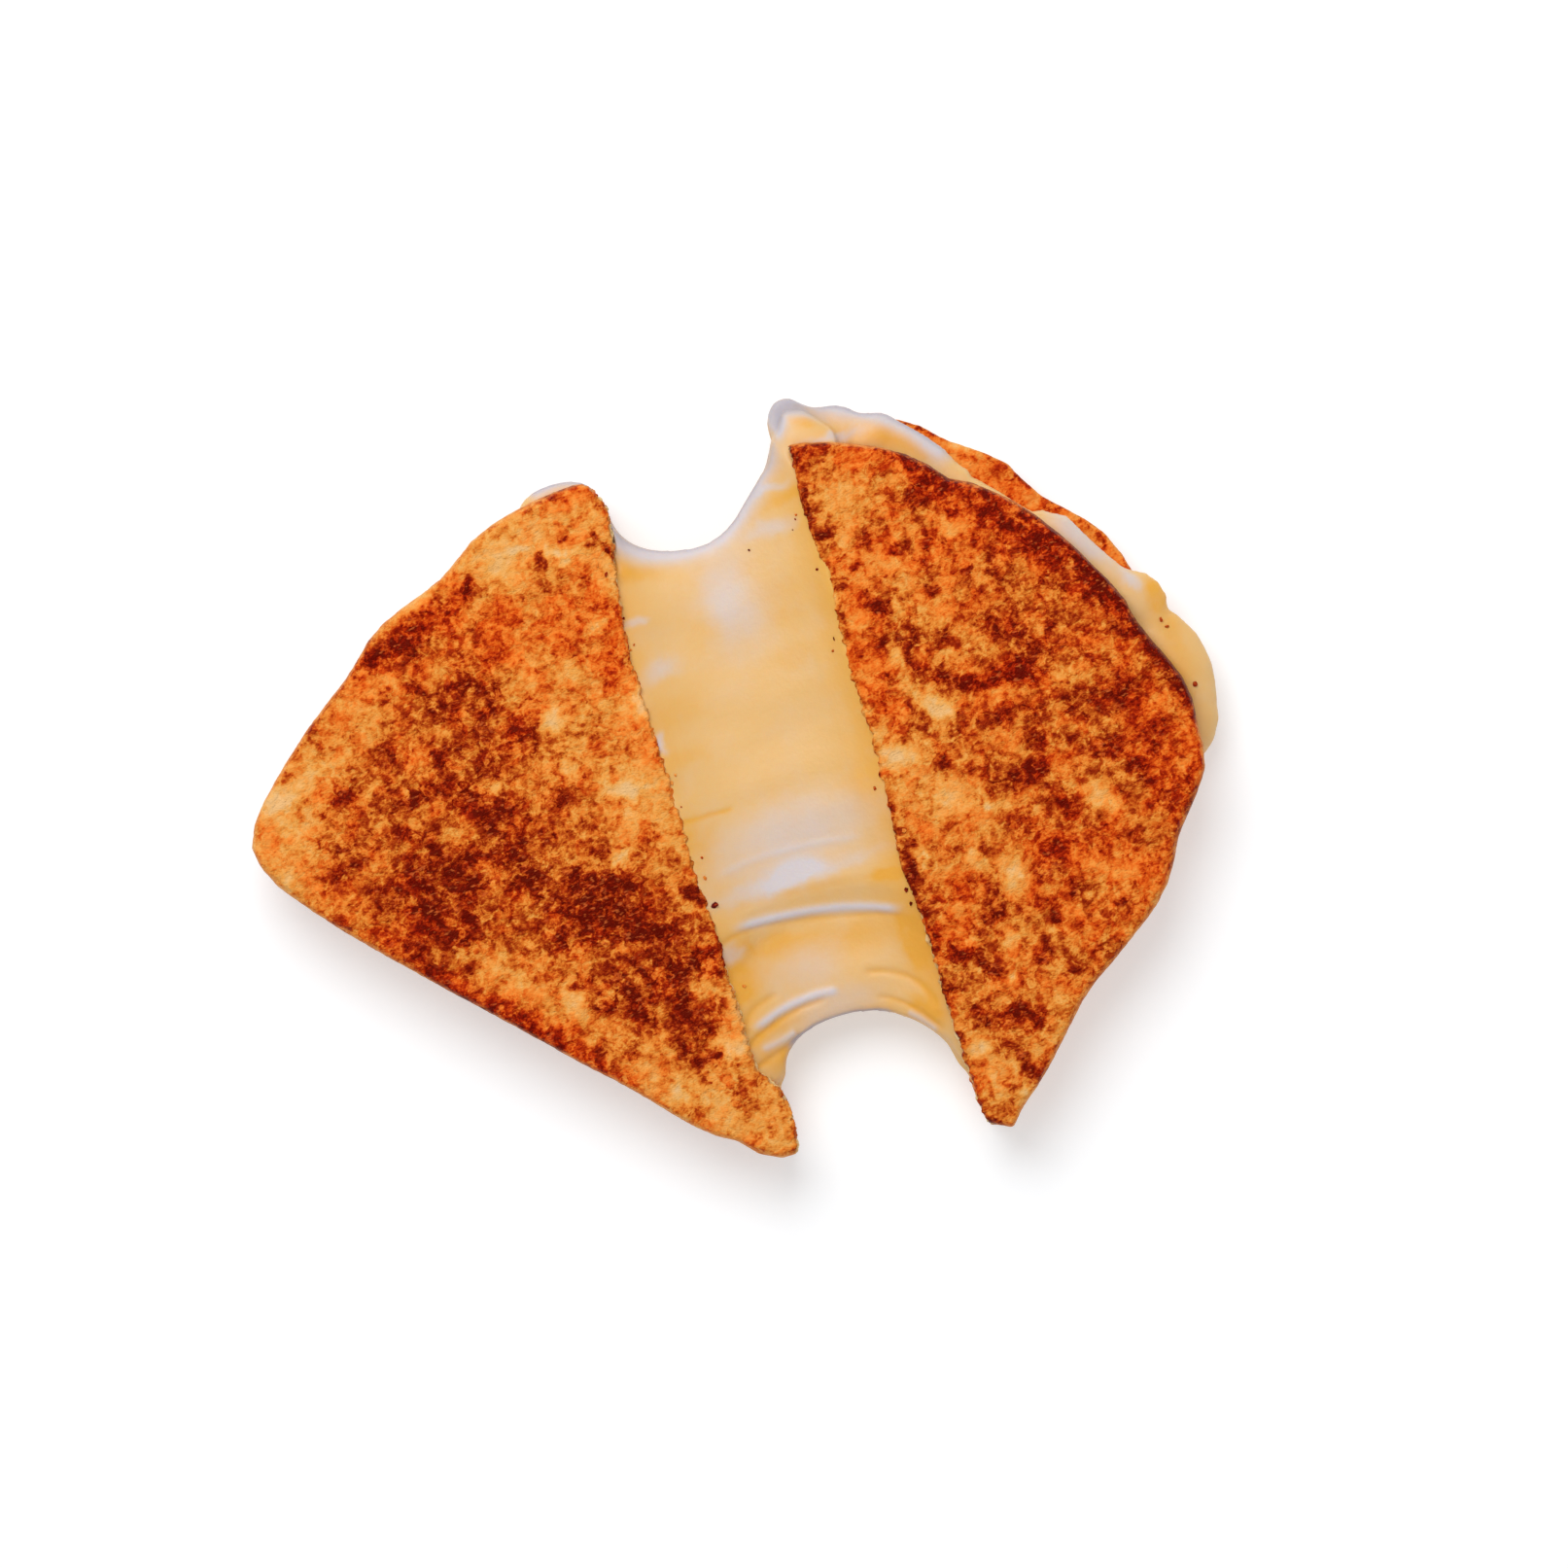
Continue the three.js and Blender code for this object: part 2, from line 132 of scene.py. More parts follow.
LEFT_MARKS[GOLDEN] = [
    (-28.5, 40, 3.2), (-37, 40, 2.4), (-64.5, 31, 2.4, 2.6), (-82, 12.5, 2.4, 2.8),
    (-100, 14, 2, 3), (-19.5, -24, 2.4), (-73, 39, 2.4), (-38, 68, 10, 5, 18), (-17, 66, 6, 8),
    (-15, 55, 3.4, 7), (-99, 20, 7, 10), (-33, -54, 10, 5, -47), (-19, -66, 9, 7, -40),
    (-16.5, 5, 3.6, 12), (-55, 65, 9, 2.4, 22), (-56, 63.5, 8, 2, 22), (-46, -41, 5, 3, -47),
    (-33, 64, 5), (-16, -28, 2, 12), (-99, 31, 5), (-13, 77, 2, 1.6), (-97, 17, 2.4, 3),
    (-81, 36, 4, 2), (-13, 65, 2.4, 6), (-32, 75, 8, 2, 10), (-25, 38, 3.4, 4), (-89, 30, 4, 2.6),
    (-40, 2, 2, 2.4), (-20, 28, 5, 6), (-25, 5, 3), (-43, 14, 2.4, 2), (-25, -52, 4, 2), (-52, 30),
    (-18, 74, 4, 3), (-34, 69, 10, 2.8, 14), (-74, 48, 7, 2.6, 30), (-72, 43, 3.4, 2.6),
    (-66, 49.3, 2, 1.3), (-55, 48, 3, 1.6, 20), (-38, 45, 3.4, 4.6), (-31, 31, 5, 3),
    (-56, 28, 3.6, 1.4, 15), (-66, 22, 3, 1.6), (-50, 20.5, 4, 2.6), (-60, 15.5, 4, 2.6, 20),
    (-23, 12, 8), (-62, -18, 15, 4.6, -47), (-20, -5, 4.6, 4), (-19, -16.5, 2, 1.8),
    (-39, -47, 2.4, 3), (-25, -57, 6, 3.4, -10), (-17, -64, 5, 4.4), (-21.5, -34, 2.8, 3),
    (-86, 37, 8, 4, 40), (-92, 24, 5, 4), (-19, 62), (-34, 59, 2.4, 2), (-24, 71, 3, 2),
    (-13, 56, 1.6, 2), (-61, 14, 2.4, 2), (-17, -25, 2.4, 1.6), (-94, 38, 2.4, 2), (-64, 32),
    (-68, -21, 4, 1.6, -47), (-40, 23), (-52, -6, 1.6, 3), (-28, -52), (-28, 66.5, 2, 2.4),
    (-26, 2, 2.4, 2), (-31, -37, 1.6, 2), (-48, -33, 2.4, 2, -20), (-16, -52.5), (-43, 44),
    (-13, 52, 1.4, 2.4), (-31, 56, 2, 1.6), (-67, -22, 2, 1, -47), (-88, 29, 2.4, 1.6),
    (-19, -34.5, 1.6, 2), (-70, 29, 2, 1.6), (-34, 50), (-19, -22, 1.6), (-55, 26.5, 2, 1.2),
    (-54.5, -1, 1.6), (-76, 5, 1.4, 2), (-58, 35, 2, 1.6), (-28, 50, 2, 1.6),
]
LEFT_MARKS[BARE] = [
    (-30.5, 68.5, 1.8, 1.1), (-24.5, 65.3, 1.2, 3, -10), (-22, 64, 1.6), (-97, 32, 4, 2.4, 35),
    (-91, 34.5, 4, 2, 35), (-34.5, 32, 2.2, 2.8), (-35, 19.5, 1.8, 2), (-15.5, 28, 2, 5),
    (-24.5, 12, 5, 2, -10), (-30, -1.5, 2.2, 1.3), (-48.5, -28, 2.4, 3.4, 20), (-41.5, -29, 1.2),
    (-36.8, -42.5, 2.4, 2.2), (-33.6, -33, 1, 3, 10), (-20, -48, 3.6, 3.4), (-15.5, -44, 2.4, 5),
    (-33, -53, 1.8), (-19, 48, 3, 1.2, 20), (-53, 46, 1.6, 1), (-20, 79.5, 5, 1, -6),
]

RIGHT_MARKS = {}
# Painted shade: the long thin marks near x 27 to 33, here and in the next two lists, darken the
# toast along the right cut edge as a line of shade where it stands over the cheese, on top of its
# browning.
RIGHT_MARKS[SCORCHED] = [
    (89.5, 21, 9, 2.4, -63), (97, 2, 6, 1.6, -75), (94, 9.5, 6, 1.6, -60), (32.6, 69.5, 1.2, 1.9),
    (32, 58.8, 0.9, 4.4), (32.2, 51, 1.1, 1), (40.3, 32.6, 2.2, 2), (44, 24, 2.6, 2, 20),
    (63, 10.5, 3.6, 2.6), (66, 12.2, 2.4, 1.6), (69.5, 15, 1.8, 1.4), (88.8, 20.5, 7, 2, -64),
    (95.3, 5, 6, 1.3, -66), (97, -4, 1.1, 5, 4), (83.5, 0, 3.6, 2), (61.5, -10.3, 2.4, 2.6, 20),
    (82.6, -17, 2.4, 2.2), (29.2, -23, 0.9, 6.5, -4), (38, -48.5, 1.8, 2.6),
    (34.5, -44, 2.4, 1.4, -20), (45, -61.6, 1.8, 2.6), (34.2, -58.5, 3.2, 1, -70),
    (40, -71.5, 1.4, 3.4, -10), (29.6, -80.3, 1.4, 1, -45), (29.3, -11, 0.8, 3),
    (98.3, -1, 1.4, 6, 4), (99, -2.5, 2, 4.5), (86.5, 27.5, 7, 2, -62), (90.5, 16, 5, 1.6, -66),
    (97.6, 0, 1.4, 5),
]
RIGHT_MARKS[BROWNED] = [
    (55, 62, 5, 1.4, -42), (57, 54.5, 6.4, 2.6, -10), (60.5, 57, 1.8), (46, 70, 10, 0.9, -18),
    (76, 40, 14, 5, -50), (69, 45, 3, 3.8), (88, 20, 14, 2.6, -60), (94, 4, 10, 1.8, -70),
    (40.5, 47, 1.8, 2.1), (47.6, 43.2, 2.8, 1.8), (54, 43, 1.6, 2), (35.2, 45, 1.1, 2.4),
    (37.5, 41.5, 1.6, 1.2), (38, 36, 1.6, 2), (51.5, 33.6, 1.5, 2), (60, 33.5, 1.8, 2.4),
    (65.5, 34, 1.8, 4.2), (76, 36, 3.4, 2.8), (42, 21), (52, 22.5, 3, 2), (62.2, 20.5, 1.8, 3.6),
    (66.5, 22.5, 1.4, 3.2), (46, 16, 3.2, 1.8, -25), (51, 12.6, 5, 1.5, -25), (55, 11, 3.6, 1.8),
    (66, 18, 1.2, 3), (72.5, 17.2, 3, 0.9, 25), (67.5, 9, 3.4, 1.2), (41, 6.5, 1.4, 2.8),
    (53.5, -13.5, 2.6, 2.2), (78, -11, 3, 2.6), (60, -51, 3, 1.6), (75, 13, 3, 2),
    (90, 23, 6, 2, -64), (50, 5, 1.5, 1.6), (56, 3, 3.2, 1.8), (75, 1.5, 4.4, 1.8, -10),
    (43, -3.2, 3, 1.2, -45), (48.2, -6, 1.4, 2), (51, -10, 2.2, 1.4, -20), (56.5, -10.5, 4, 1.3),
    (63, -3.6, 1.8, 4), (90, -10, 4, 1.8, -10), (93, -21.5, 2, 1.3), (90, -29, 4, 1, 48),
    (55, -21, 4, 1.5, -8), (65, -19.5, 2.6, 2, 20), (60, -28, 4.4, 2.8), (70, -26.3, 3, 1, -10),
    (62, -36.3, 2.4, 2.8), (46.2, -24.6, 1.2, 0.8), (30.5, -32, 2.2, 2), (30, -37),
    (44, -37, 2.2, 1), (30, -43, 2, 1.4), (29, -49.6, 2.4, 1.4), (55.6, -42.6, 1.5, 1.6),
    (70, -43.5, 2, 1, 10), (52, -47, 1.5, 2.2), (50, -50, 2.2, 1), (56, -54, 1.6, 1.4),
    (59.5, 58.5, 3.4, 1.8, -42), (30, -26, 1.2, 2.4), (41.5, -73.5, 1.8, 2), (41, -59.5, 4, 1.8),
    (38, -66, 3, 2, -20), (28.5, -61.5, 1.4, 1.6), (27.8, -39, 0.8, 5),
]
RIGHT_MARKS[WARMED] = [
    (33.5, 39.5, 2.6, 3), (51.5, 39.5, 2.4, 2.8), (60.5, 48.5, 2.4, 2.8), (60.5, -32, 2.4, 2.8),
    (42.5, -60, 3), (78.5, -23, 2.4, 2.6), (88, 13, 2.4, 4), (42.5, 49, 2.4), (86.5, -24, 5),
    (88, 26, 9, 4, -60), (96, 3, 4, 10, 10), (63, 57, 8, 4, -38), (27.6, -23, 1, 6),
    (30, 55, 1.6, 3), (36, 42.6, 2.4, 2), (38, -58, 3, 4), (74, -9.5, 3, 2), (66, -23, 4, 2.4),
    (72, 1, 2.4, 2), (42, 28), (39, 1), (45, -32, 2, 2.4), (39, 7, 1.6, 2), (60, 40, 2.4, 2),
    (57, 60, 5, 2, -42), (88, 26, 6, 2.4, -62), (63, 35.5, 2.4, 2), (48, 45.6, 2.4, 2),
    (84, 32, 4, 3, -60), (77, 46, 7, 4, -50), (62, -51, 5, 3, 20), (38, -42, 3), (66, 1, 3),
    (77, -3, 7, 3), (72, -8, 3), (57, -32, 3), (78, -36, 3), (54, -14, 3, 2), (52, -53, 5, 4),
    (35, 67, 3, 5), (45, 50, 2.4, 3), (33, 49, 2, 3), (79, 26, 5, 3, -30), (84, 4, 2.4, 3),
    (39, 25), (63, 4, 2.4, 2), (60, 31), (70, 13, 2.4, 2), (42, 37, 2.4, 2), (51, -8), (42, 16),
    (36, 16, 2.4), (89.5, 21, 5, 2, -64), (78, -15, 2, 2.4), (69, 39, 2.4),
]
RIGHT_MARKS[TINTED] = [(84, -8, 13, 15), (70, 26, 16, 12, -45)]
RIGHT_MARKS[GOLDEN] = [
    (33.5, 31, 2.4, 3), (42.5, 31, 2.4), (42.5, -24, 2.2, 2.4), (69.5, -50, 2.2, 2, 30),
    (51.5, 58, 2.2, 2.4), (34, 20, 2, 2.4), (38, 60, 7, 6), (42, 48, 13, 5), (43, 38, 12, 5),
    (57, 32, 7, 4), (52, -54, 6, 5), (48, -8, 3, 5), (62, -33, 4, 3), (40.5, 20, 2.4, 6),
    (51, -45, 3, 4), (45, -66, 5, 2), (38, -26, 3), (49, 7, 4, 2), (36, -6, 6, 7), (42, 5, 4, 5),
    (32, 5, 3, 7), (36, -66, 3), (33, -21, 2, 3), (57, -2, 2.6, 2), (54, 22, 2.4, 2),
    (31, -35, 2, 4), (93, -8, 3, 5), (60, 45, 3), (73, 44, 4, 2, -50), (39, -72, 3), (48, 26, 3, 2),
    (59.6, 45, 2.8, 3.4), (45, 41.5, 2.8, 1.8), (38, 58, 3.6, 3), (51, 27.5, 3.4, 2.6),
    (62, 34.6, 2, 3), (55.5, 21, 2, 2.4), (51, 17.6, 3.2, 1.8), (73, 7.5, 4, 1.4, 5),
    (58, 8, 3.6, 1, -5), (44, -18, 3), (72, -36, 8, 3), (57, -36, 3, 2.4), (60, -50, 5, 2.4, 25),
    (55, -45, 2.4), (35, -15, 4, 2.4), (74, -5.5, 3, 2), (34, 65, 3, 2), (80.5, -23, 3),
    (59, 18, 2.4, 3), (57, 34), (54, 31, 2, 1.6), (44.5, -48.5, 2.6, 3), (39, -36.5, 2, 2.6),
    (30, -20, 1.4, 2), (78, 7, 3, 2), (41, 66.5, 3.4, 1.6), (43.5, -26, 4, 2), (36, -23), (57, -5),
    (48, -14), (45, -2, 2, 1.6), (30, -71, 1.6, 3), (78, -5, 2, 1.6), (75, -14, 2.4, 2),
    (63, 28.5, 2.4, 3), (45, 19.5), (30, 22.5, 2, 2.4), (57, 4.5, 2, 1.6), (36, 19), (87, -27),
    (70.5, -4.6, 2.6, 1.6), (30, -56), (57, -56.5, 2, 1.6), (69, -38), (51.5, 3.5, 2, 1.6),
    (75, 4.6, 2.4, 1.6), (54, 13.6, 1.6, 1.2), (63, 61, 1.6), (72, 43), (39.8, 22, 1.2, 2.8),
    (50, -12, 1.6, 1.4), (31, -36), (63, -29, 3, 2), (75, -38, 3, 2), (60, -8), (63, 43),
    (39, -53, 3, 1.6),
]
RIGHT_MARKS[BARE] = [
    (44.6, 9, 4.8, 2.7, -47), (33, 1.2, 5, 2.6, -5), (42.5, -11, 3.6), (49.2, -15, 1, 1.8),
    (53, -15, 3, 1.8), (73.2, -20.5, 2.8, 3.8, 20), (49.8, -31, 3.4, 4.2, 10),
    (43.4, -52.2, 1.1, 1.3), (45, -43.5, 2, 1.8), (36.4, -48.5, 0.9, 1.1), (31.2, -64.2, 2.6, 2),
    (33, -71.5, 1.5, 4), (32.8, -22, 0.9, 1.8), (37, -42, 1.6, 1.4), (31, 37.5, 1, 1.6),
    (38, -76.5, 2.4, 1, 25),
]

# Crust of the lower right slice where it shows past the cheese.
RIGHT_RIM_MARKS = {
    BROWNED: [
        (60.5, 67.3, 6, 0.8, -45), (66, 59.2, 3, 0.5, -45), (76.5, 50.5, 4, 2, -48),
        (82, 42, 3, 0.7, -10), (90, 34, 4, 0.7, -60),
    ],
    GOLDEN: [(66.5, 58.5, 7, 2.4, -42)],
    BARE: [(67.5, 60.9, 3.4, 0.9, -35)],
}

# Ovals as above, where the toast is redder than elsewhere, listed under how much redder.
LEFT_EMBERS = {
    1.0: [
        (-63, 57, 13, 4, 22), (-20, 50, 8, 12), (-16, 76.5, 8, 3), (-46, 57, 9, 7),
        (-60, -30, 26, 2.6, -47),
    ],
    0.6: [
        (-72, 48, 8, 4, 30), (-34, 50, 9), (-80, -2, 6, 8), (-90, 12, 8, 6), (-18, 26, 4, 12),
        (-62, 33, 9, 5), (-102, 25, 3, 5),
    ],
}
RIGHT_EMBERS = {
    0.15: [(64, -4, 45, 90)],
    1.0: [
        (76, 39, 16, 7, -50), (48, 66, 10, 5, -20), (58, 58, 9, 5, -30), (90, -14, 9, 12),
        (34, 24, 5, 16),
    ],
    0.6: [
        (66, 46, 10, 8), (48, 44, 14, 9), (62, -31, 12, 9), (34, -34, 7, 10), (75, -40, 10, 6, 40),
        (63, 8, 10, 7), (90, 15, 6, 10, 20),
    ],
}
RIGHT_RIM_EMBERS = {1.0: [(72, 55, 30, 8, -42), (90, 30, 8)]}

# How each slice is browned: how brown its faces are on average, and its two sets of marks.
BROWNING = {
    "toast_upper_left": (0.47, LEFT_MARKS, LEFT_EMBERS),
    "toast_upper_right": (0.49, RIGHT_MARKS, RIGHT_EMBERS),
    "toast_lower_left": (0.5, {}, {}),
    "toast_lower_right": (0.41, RIGHT_RIM_MARKS, RIGHT_RIM_EMBERS),
}

# ---- Tones and folds of the cheese ----

# Ovals as above, listed under how strong the tone is.
AMBER_MARKS = {
    0.9: [
        (-13.5, -36.5, 2, 2.2), (24, -22.4, 3, 1.6, -10), (36, 77, 2.4, 1.4),
        (-10.5, -53, 2.4, 4, 30), (53, 68.6, 6, 2.8, -38), (59, 63, 4, 2, -45), (98, 18, 3, 4),
        (23, -53, 2, 4, 30),
    ],
    0.6: [
        (-8, 56, 6, 2.2, -20), (-5, -29.5, 9, 2.4, -5), (99, 12, 4, 7), (97, 0, 4, 8),
        (26.5, 61.5, 4.5, 1.4, 15), (24.5, -39, 2, 7), (-9, -47.5, 6, 1.2, 15), (5, -50, 10, 1.2),
        (42.5, 75.4, 3.4, 2, -10), (-12, -36, 3, 4),
    ],
    0.35: [
        (25, 68, 3), (14, 50, 2.6, 1.5), (-10, 1.2, 5, 0.9, -3), (-8, 24.5, 6, 3.4, 5),
        (-9, 14.5, 5, 2.4), (20, 41, 5), (5, -33, 16, 5), (-12, -32, 5, 7), (19, 29, 4, 3),
        (15, -33, 8, 3, -10), (23, -4, 4, 6), (-12, -4, 4, 5), (24, -36, 2.4, 6),
    ],
}
# Pale marks where the cheese is stretched thin, partly painted highlight.
MILKY_AND_HIGHLIGHT_MARKS = {
    0.8: [
        (4.5, -15.8, 6.5, 2.6), (30.5, 79, 1.6, 3.4), (86.5, 34, 9, 2.6, -58), (-12.6, 19, 1, 2.4),
        (42, 72, 6, 1, -8), (93.5, 22.5, 3, 1.4, -58),
    ],
    0.55: [
        (-10.5, 46, 2, 1), (-9, 34, 3.6, 2.6), (24, 64.5, 4, 1, -4), (22, 56.6, 5, 2),
        (-12.5, -29, 1.8, 2), (4, -17.4, 19, 1.9),
    ],
    0.35: [
        (4, -11, 19, 8.6), (10, 44, 8, 14), (9, 43, 5, 7), (1, -37, 8, 5), (6, -46, 10, 4),
        (9, -6, 15, 7),
    ],
}

END_SHARE = 0.12  # how much of a line its fading end takes up

# Folds, creases and streaks: half of their width, what they do, and the line they follow. They
# rise (or sink), and are amber, pale with a painted highlight, or grey with painted shade.
FOLDS = [
    # The cheese is thick where it clings to the cut edges.
    (4.2, {"amber": 0.6},
     [(-16.8, -56), (-16, -30), (-15.4, -10), (-15.4, 30), (-13.5, 50), (-10.5, 70)]),
    (5, {"amber": 0.8}, [(27.4, -62), (28.2, -10), (29.3, 10), (30, 30), (31.2, 50), (31.6, 72)]),
    # It is thin along the free edges of the sheet; their tops carry a painted highlight, and their
    # steep sides painted shade.
    (2.4, {"milky": 1.2, "rim": 0.7},
     [(-11.5, 72), (-9.5, 64), (-5, 59.4), (1, 57.6), (8, 57.4), (14, 59), (20, 64), (25, 70),
      (29, 78)]),
    (2, {"amber": 0.1, "milky": 0.2, "rim": 0.9},
     [(-9, -52), (-4, -49.8), (3, -49), (10, -49.4), (17, -52)]),
    (1.6, {"milky": 1.1, "rim": 0.9},
     [(-26, 79), (-18, 80.4), (-12.4, 78.6), (-10, 73), (-11, 68)]),
    # Folds across the sheet; the pale lines along their crests are painted highlights.
    (0.6, {"rise": -0.15, "amber": 0.35},
     [(-15.5, -28.5), (-13.5, -26.2), (-9.5, -24.9), (-3, -25.5), (4, -26.6), (12, -28.4),
      (20, -30.2), (26, -33)]),
    (1, {"rise": 0.35, "milky": 1.1},
     [(-12, -23.6), (-3, -24), (3, -24.6), (8, -25.4), (17, -27.5), (25.5, -30.9)]),
    (0.9, {"rise": -0.1, "amber": 0.25}, [(-12, -19.6), (0, -20), (10, -20.6), (24, -22.6)]),
    (0.5, {"rise": -0.1, "amber": 0.6}, [(-14, 1.6), (-8, 1.2), (-3, 1)]),
    (0.8, {"rise": 0.1, "milky": 0.25}, [(-12, -12), (-4, -10.6), (8, -11), (22, -13)]),
    (0.7, {"rise": -0.4, "amber": 0.9},
     [(-15.2, -50.5), (-13.6, -48.6), (-11, -46.8), (-7, -45.4), (-2, -44.4), (4, -44.2)]),
    (0.9, {"rise": 0.35, "milky": 1.0}, [(-13, -46), (-9, -44), (-4, -43), (2, -42.7), (7, -43.4)]),
    (0.7, {"rise": -0.4, "amber": 0.9}, [(-15.5, -54.5), (-11, -52.8), (-7, -51.3), (-4, -49.9)]),
    (0.8, {"rise": 0.3, "milky": 0.6}, [(-12.5, -50.5), (-8, -49.8), (-5, -49)]),
    (0.8, {"rise": -0.35, "amber": 0.5},
     [(12, -41), (16, -42), (20, -43.8), (23, -46.5), (24.8, -50), (25, -54)]),
    (0.6, {"rise": -0.3, "amber": 0.5},
     [(13, -46.8), (17, -48.6), (20.5, -51.5), (23.5, -55.5), (25.3, -59)]),
    (0.6, {"rise": 0.25, "milky": 0.6}, [(19, -52), (22, -55), (24, -58.4)]),
    (0.8, {"rise": -0.3, "amber": 0.5}, [(-14.5, -47), (-13, -43), (-10.5, -40.8), (-6, -39.9)]),
    # The lip of cheese round the upper right corner, with a painted highlight on top and painted
    # shade down its steep side.
    (2.1, {"milky": 1.2, "rim": 0.9},
     [(31, 74), (31, 81), (35, 81.4), (41, 79), (47, 75.6), (52, 73), (57, 69), (61.4, 63),
      (64.5, 57)]),
]

# The line along which the cheese hardly shows past the upper right slice, how far from it that
# reaches, and how far and which way the cheese is drawn in there.
BARE_RIM = [(68, 57), (72, 53), (76, 48.5), (80, 42)]
BARE_REACH = 4.5
DRAWN_IN, DRAWN_ALONG = 1.3, [-0.66, -0.75]

# ---- Crumbs ----

# Strips that crumbs lie on: how many, the lowest and highest x, and the lowest and highest y.
CRUMB_STRIPS = [(12, -15.5, -12.5, -38, 60), (12, 27, 30.5, -52, 62)]

DROPPED_FROM = 60  # height that is clear of every piece

# Larger burnt crumbs on the cheese: x, y, half of the length, and how brown.
BURNT_CRUMBS = [
    (-13.6, -17.6, 0.75, 1), (26.8, -30.2, 0.7, 1), (16.8, 53.2, 0.35, 1), (26.9, -27, 0.5, 1),
    (97.2, 11.8, 0.5, 0.66), (98, 10, 0.45, 0.62), (99.8, -3.7, 0.6, 0.66),
]


def display(red, green, blue):
    """The linear colour of a display colour, each part from 0 to 255."""
    parts = [part / 255 for part in (red, green, blue)]
    return [p / 12.92 if p <= 0.04045 else ((p + 0.055) / 1.055) ** 2.4 for p in parts]


# Tones from pale to dark: how far along, and the display colour there. Plain toast, toast that is
# redder than elsewhere, the crust round the sides, and the torn crumb.
TOAST_TONES = [
    (0.0, 232, 184, 124), (0.17, 235, 174, 99), (0.31, 235, 161, 76), (0.42, 229, 142, 57),
    (0.5, 218, 121, 40), (0.57, 201, 97, 27), (0.65, 176, 69, 15), (0.74, 152, 42, 6),
    (0.88, 120, 15, 2), (1.0, 94, 5, 1),
]
EMBER_TONES = [
    (0.0, 243, 186, 120), (0.17, 244, 160, 72), (0.42, 238, 122, 40), (0.57, 217, 84, 16),
    (0.65, 194, 60, 9), (0.74, 167, 34, 3), (0.88, 128, 10, 1), (1.0, 98, 3, 1),
]
CRUST_TONES = [
    (0.2, 240, 178, 104), (0.5, 224, 136, 62), (0.75, 184, 92, 34), (1.0, 112, 42, 14),
]
CRUMB_TONES = [
    (0.2, 252, 226, 170), (0.6, 246, 204, 136), (1.0, 228, 164, 92),
]

# Painted glints: small bright highlights painted onto browned toast.
PAINTED_GLINT_STRENGTH, PAINTED_GLINT_COLOUR = 0.4, display(255, 130, 60)


# ---- Settings that a user would change ----


def length(name, description, default, least):
    """A length that a user can change, given in millimetres."""
    return FloatProperty(
        name=name, description=description, default=default * MM, min=least * MM, unit="LENGTH")


def tint(name, description, default):
    """A colour that a user can change."""
    return FloatVectorProperty(
        name=name, description=description, default=default, subtype="COLOR", size=3)


class ToastSettings(bpy.types.PropertyGroup):
    """Surface of the toasted slices."""

    upper_step: length("Upper Mesh Step", "Spacing of the mesh of an upper slice", 0.5, 0.3)
    lower_step: length("Lower Mesh Step", "Spacing of the mesh of a lower slice", 0.7, 0.4)
    crag_depth: length("Crag Depth", "How deep the toasted face is pitted", 0.5, 0)
    pore_depth: length("Pore Depth", "How deep the torn crumb of a cut face is pitted", 1.0, 0)
    tear_depth: length("Tear Depth", "How far the edge of the cut wanders", 0.7, 0)
    graininess: FloatProperty(
        name="Graininess", description="How strongly fine grain changes the browning",
        default=0.95, min=0, max=4, subtype="FACTOR")


class CheeseSettings(bpy.types.PropertyGroup):
    """Surface and colours of the melted cheese."""

    mesh_step: length("Mesh Step", "Spacing of the mesh, halved where the sheet shows", 0.9, 0.5)
    ripple_depth: length("Ripple Depth", "Height of the soft ripples in the sheet", 0.3, 0)
    cream: tint("Cream", "Colour where it is neither amber nor milky", display(228, 184, 119))
    amber: tint("Amber", "Colour where it is thick or oily", display(230, 168, 64))
    # The third colour is pale thin cheese and a painted highlight; the fourth is painted shade on
    # the steep free edges.
    milky: tint("Milky And Highlight", "Colour where it is stretched thin", display(210, 200, 201))
    rim: tint("Rim Shade", "Colour of the thin free edges", display(172, 166, 176))


class CrumbSettings(bpy.types.PropertyGroup):
    """Loose crumbs of toast."""

    size: length("Crumb Size", "Half of the length of an average crumb", 0.34, 0.1)
    seed: IntProperty(name="Seed", description="Chooses where crumbs lie", default=5, min=0)


class StudioSettings(bpy.types.PropertyGroup):
    """Floor, lights and camera."""

    floor_colour: tint("Floor Colour", "Colour of the floor", (0.66, 0.68, 0.7))
    camera_height: length("Camera Height", "Height over the toasted faces", 2000, 500)
    view_width: length("View Width", "Width seen at the toasted faces", 338.7, 100)
    key_energy: FloatProperty(
        name="Key Energy", description="Strength of the large soft light",
        default=13.0, min=0, unit="POWER")
    sky_strength: FloatProperty(
        name="Sky Strength", description="Strength of the even light from all round",
        default=0.53, min=0)


# ---- Meshes ----


def applied(piece):
    """The piece, with its modifiers made part of its mesh."""
    shaped = piece.evaluated_get(bpy.context.evaluated_depsgraph_get())
    mesh = bpy.data.meshes.new_from_object(shaped)
    rough = piece.data
    piece.modifiers.clear()
    piece.data = mesh
    bpy.data.meshes.remove(rough)
    mesh.name = piece.name
    return piece


def new_piece(name, shape):
    """An object in the scene with the mesh of a bmesh, which is used up."""
    mesh = bpy.data.meshes.new(name)
    shape.to_mesh(mesh)
    shape.free()
    piece = bpy.data.objects.new(name, mesh)
    bpy.context.scene.collection.objects.link(piece)
    return piece


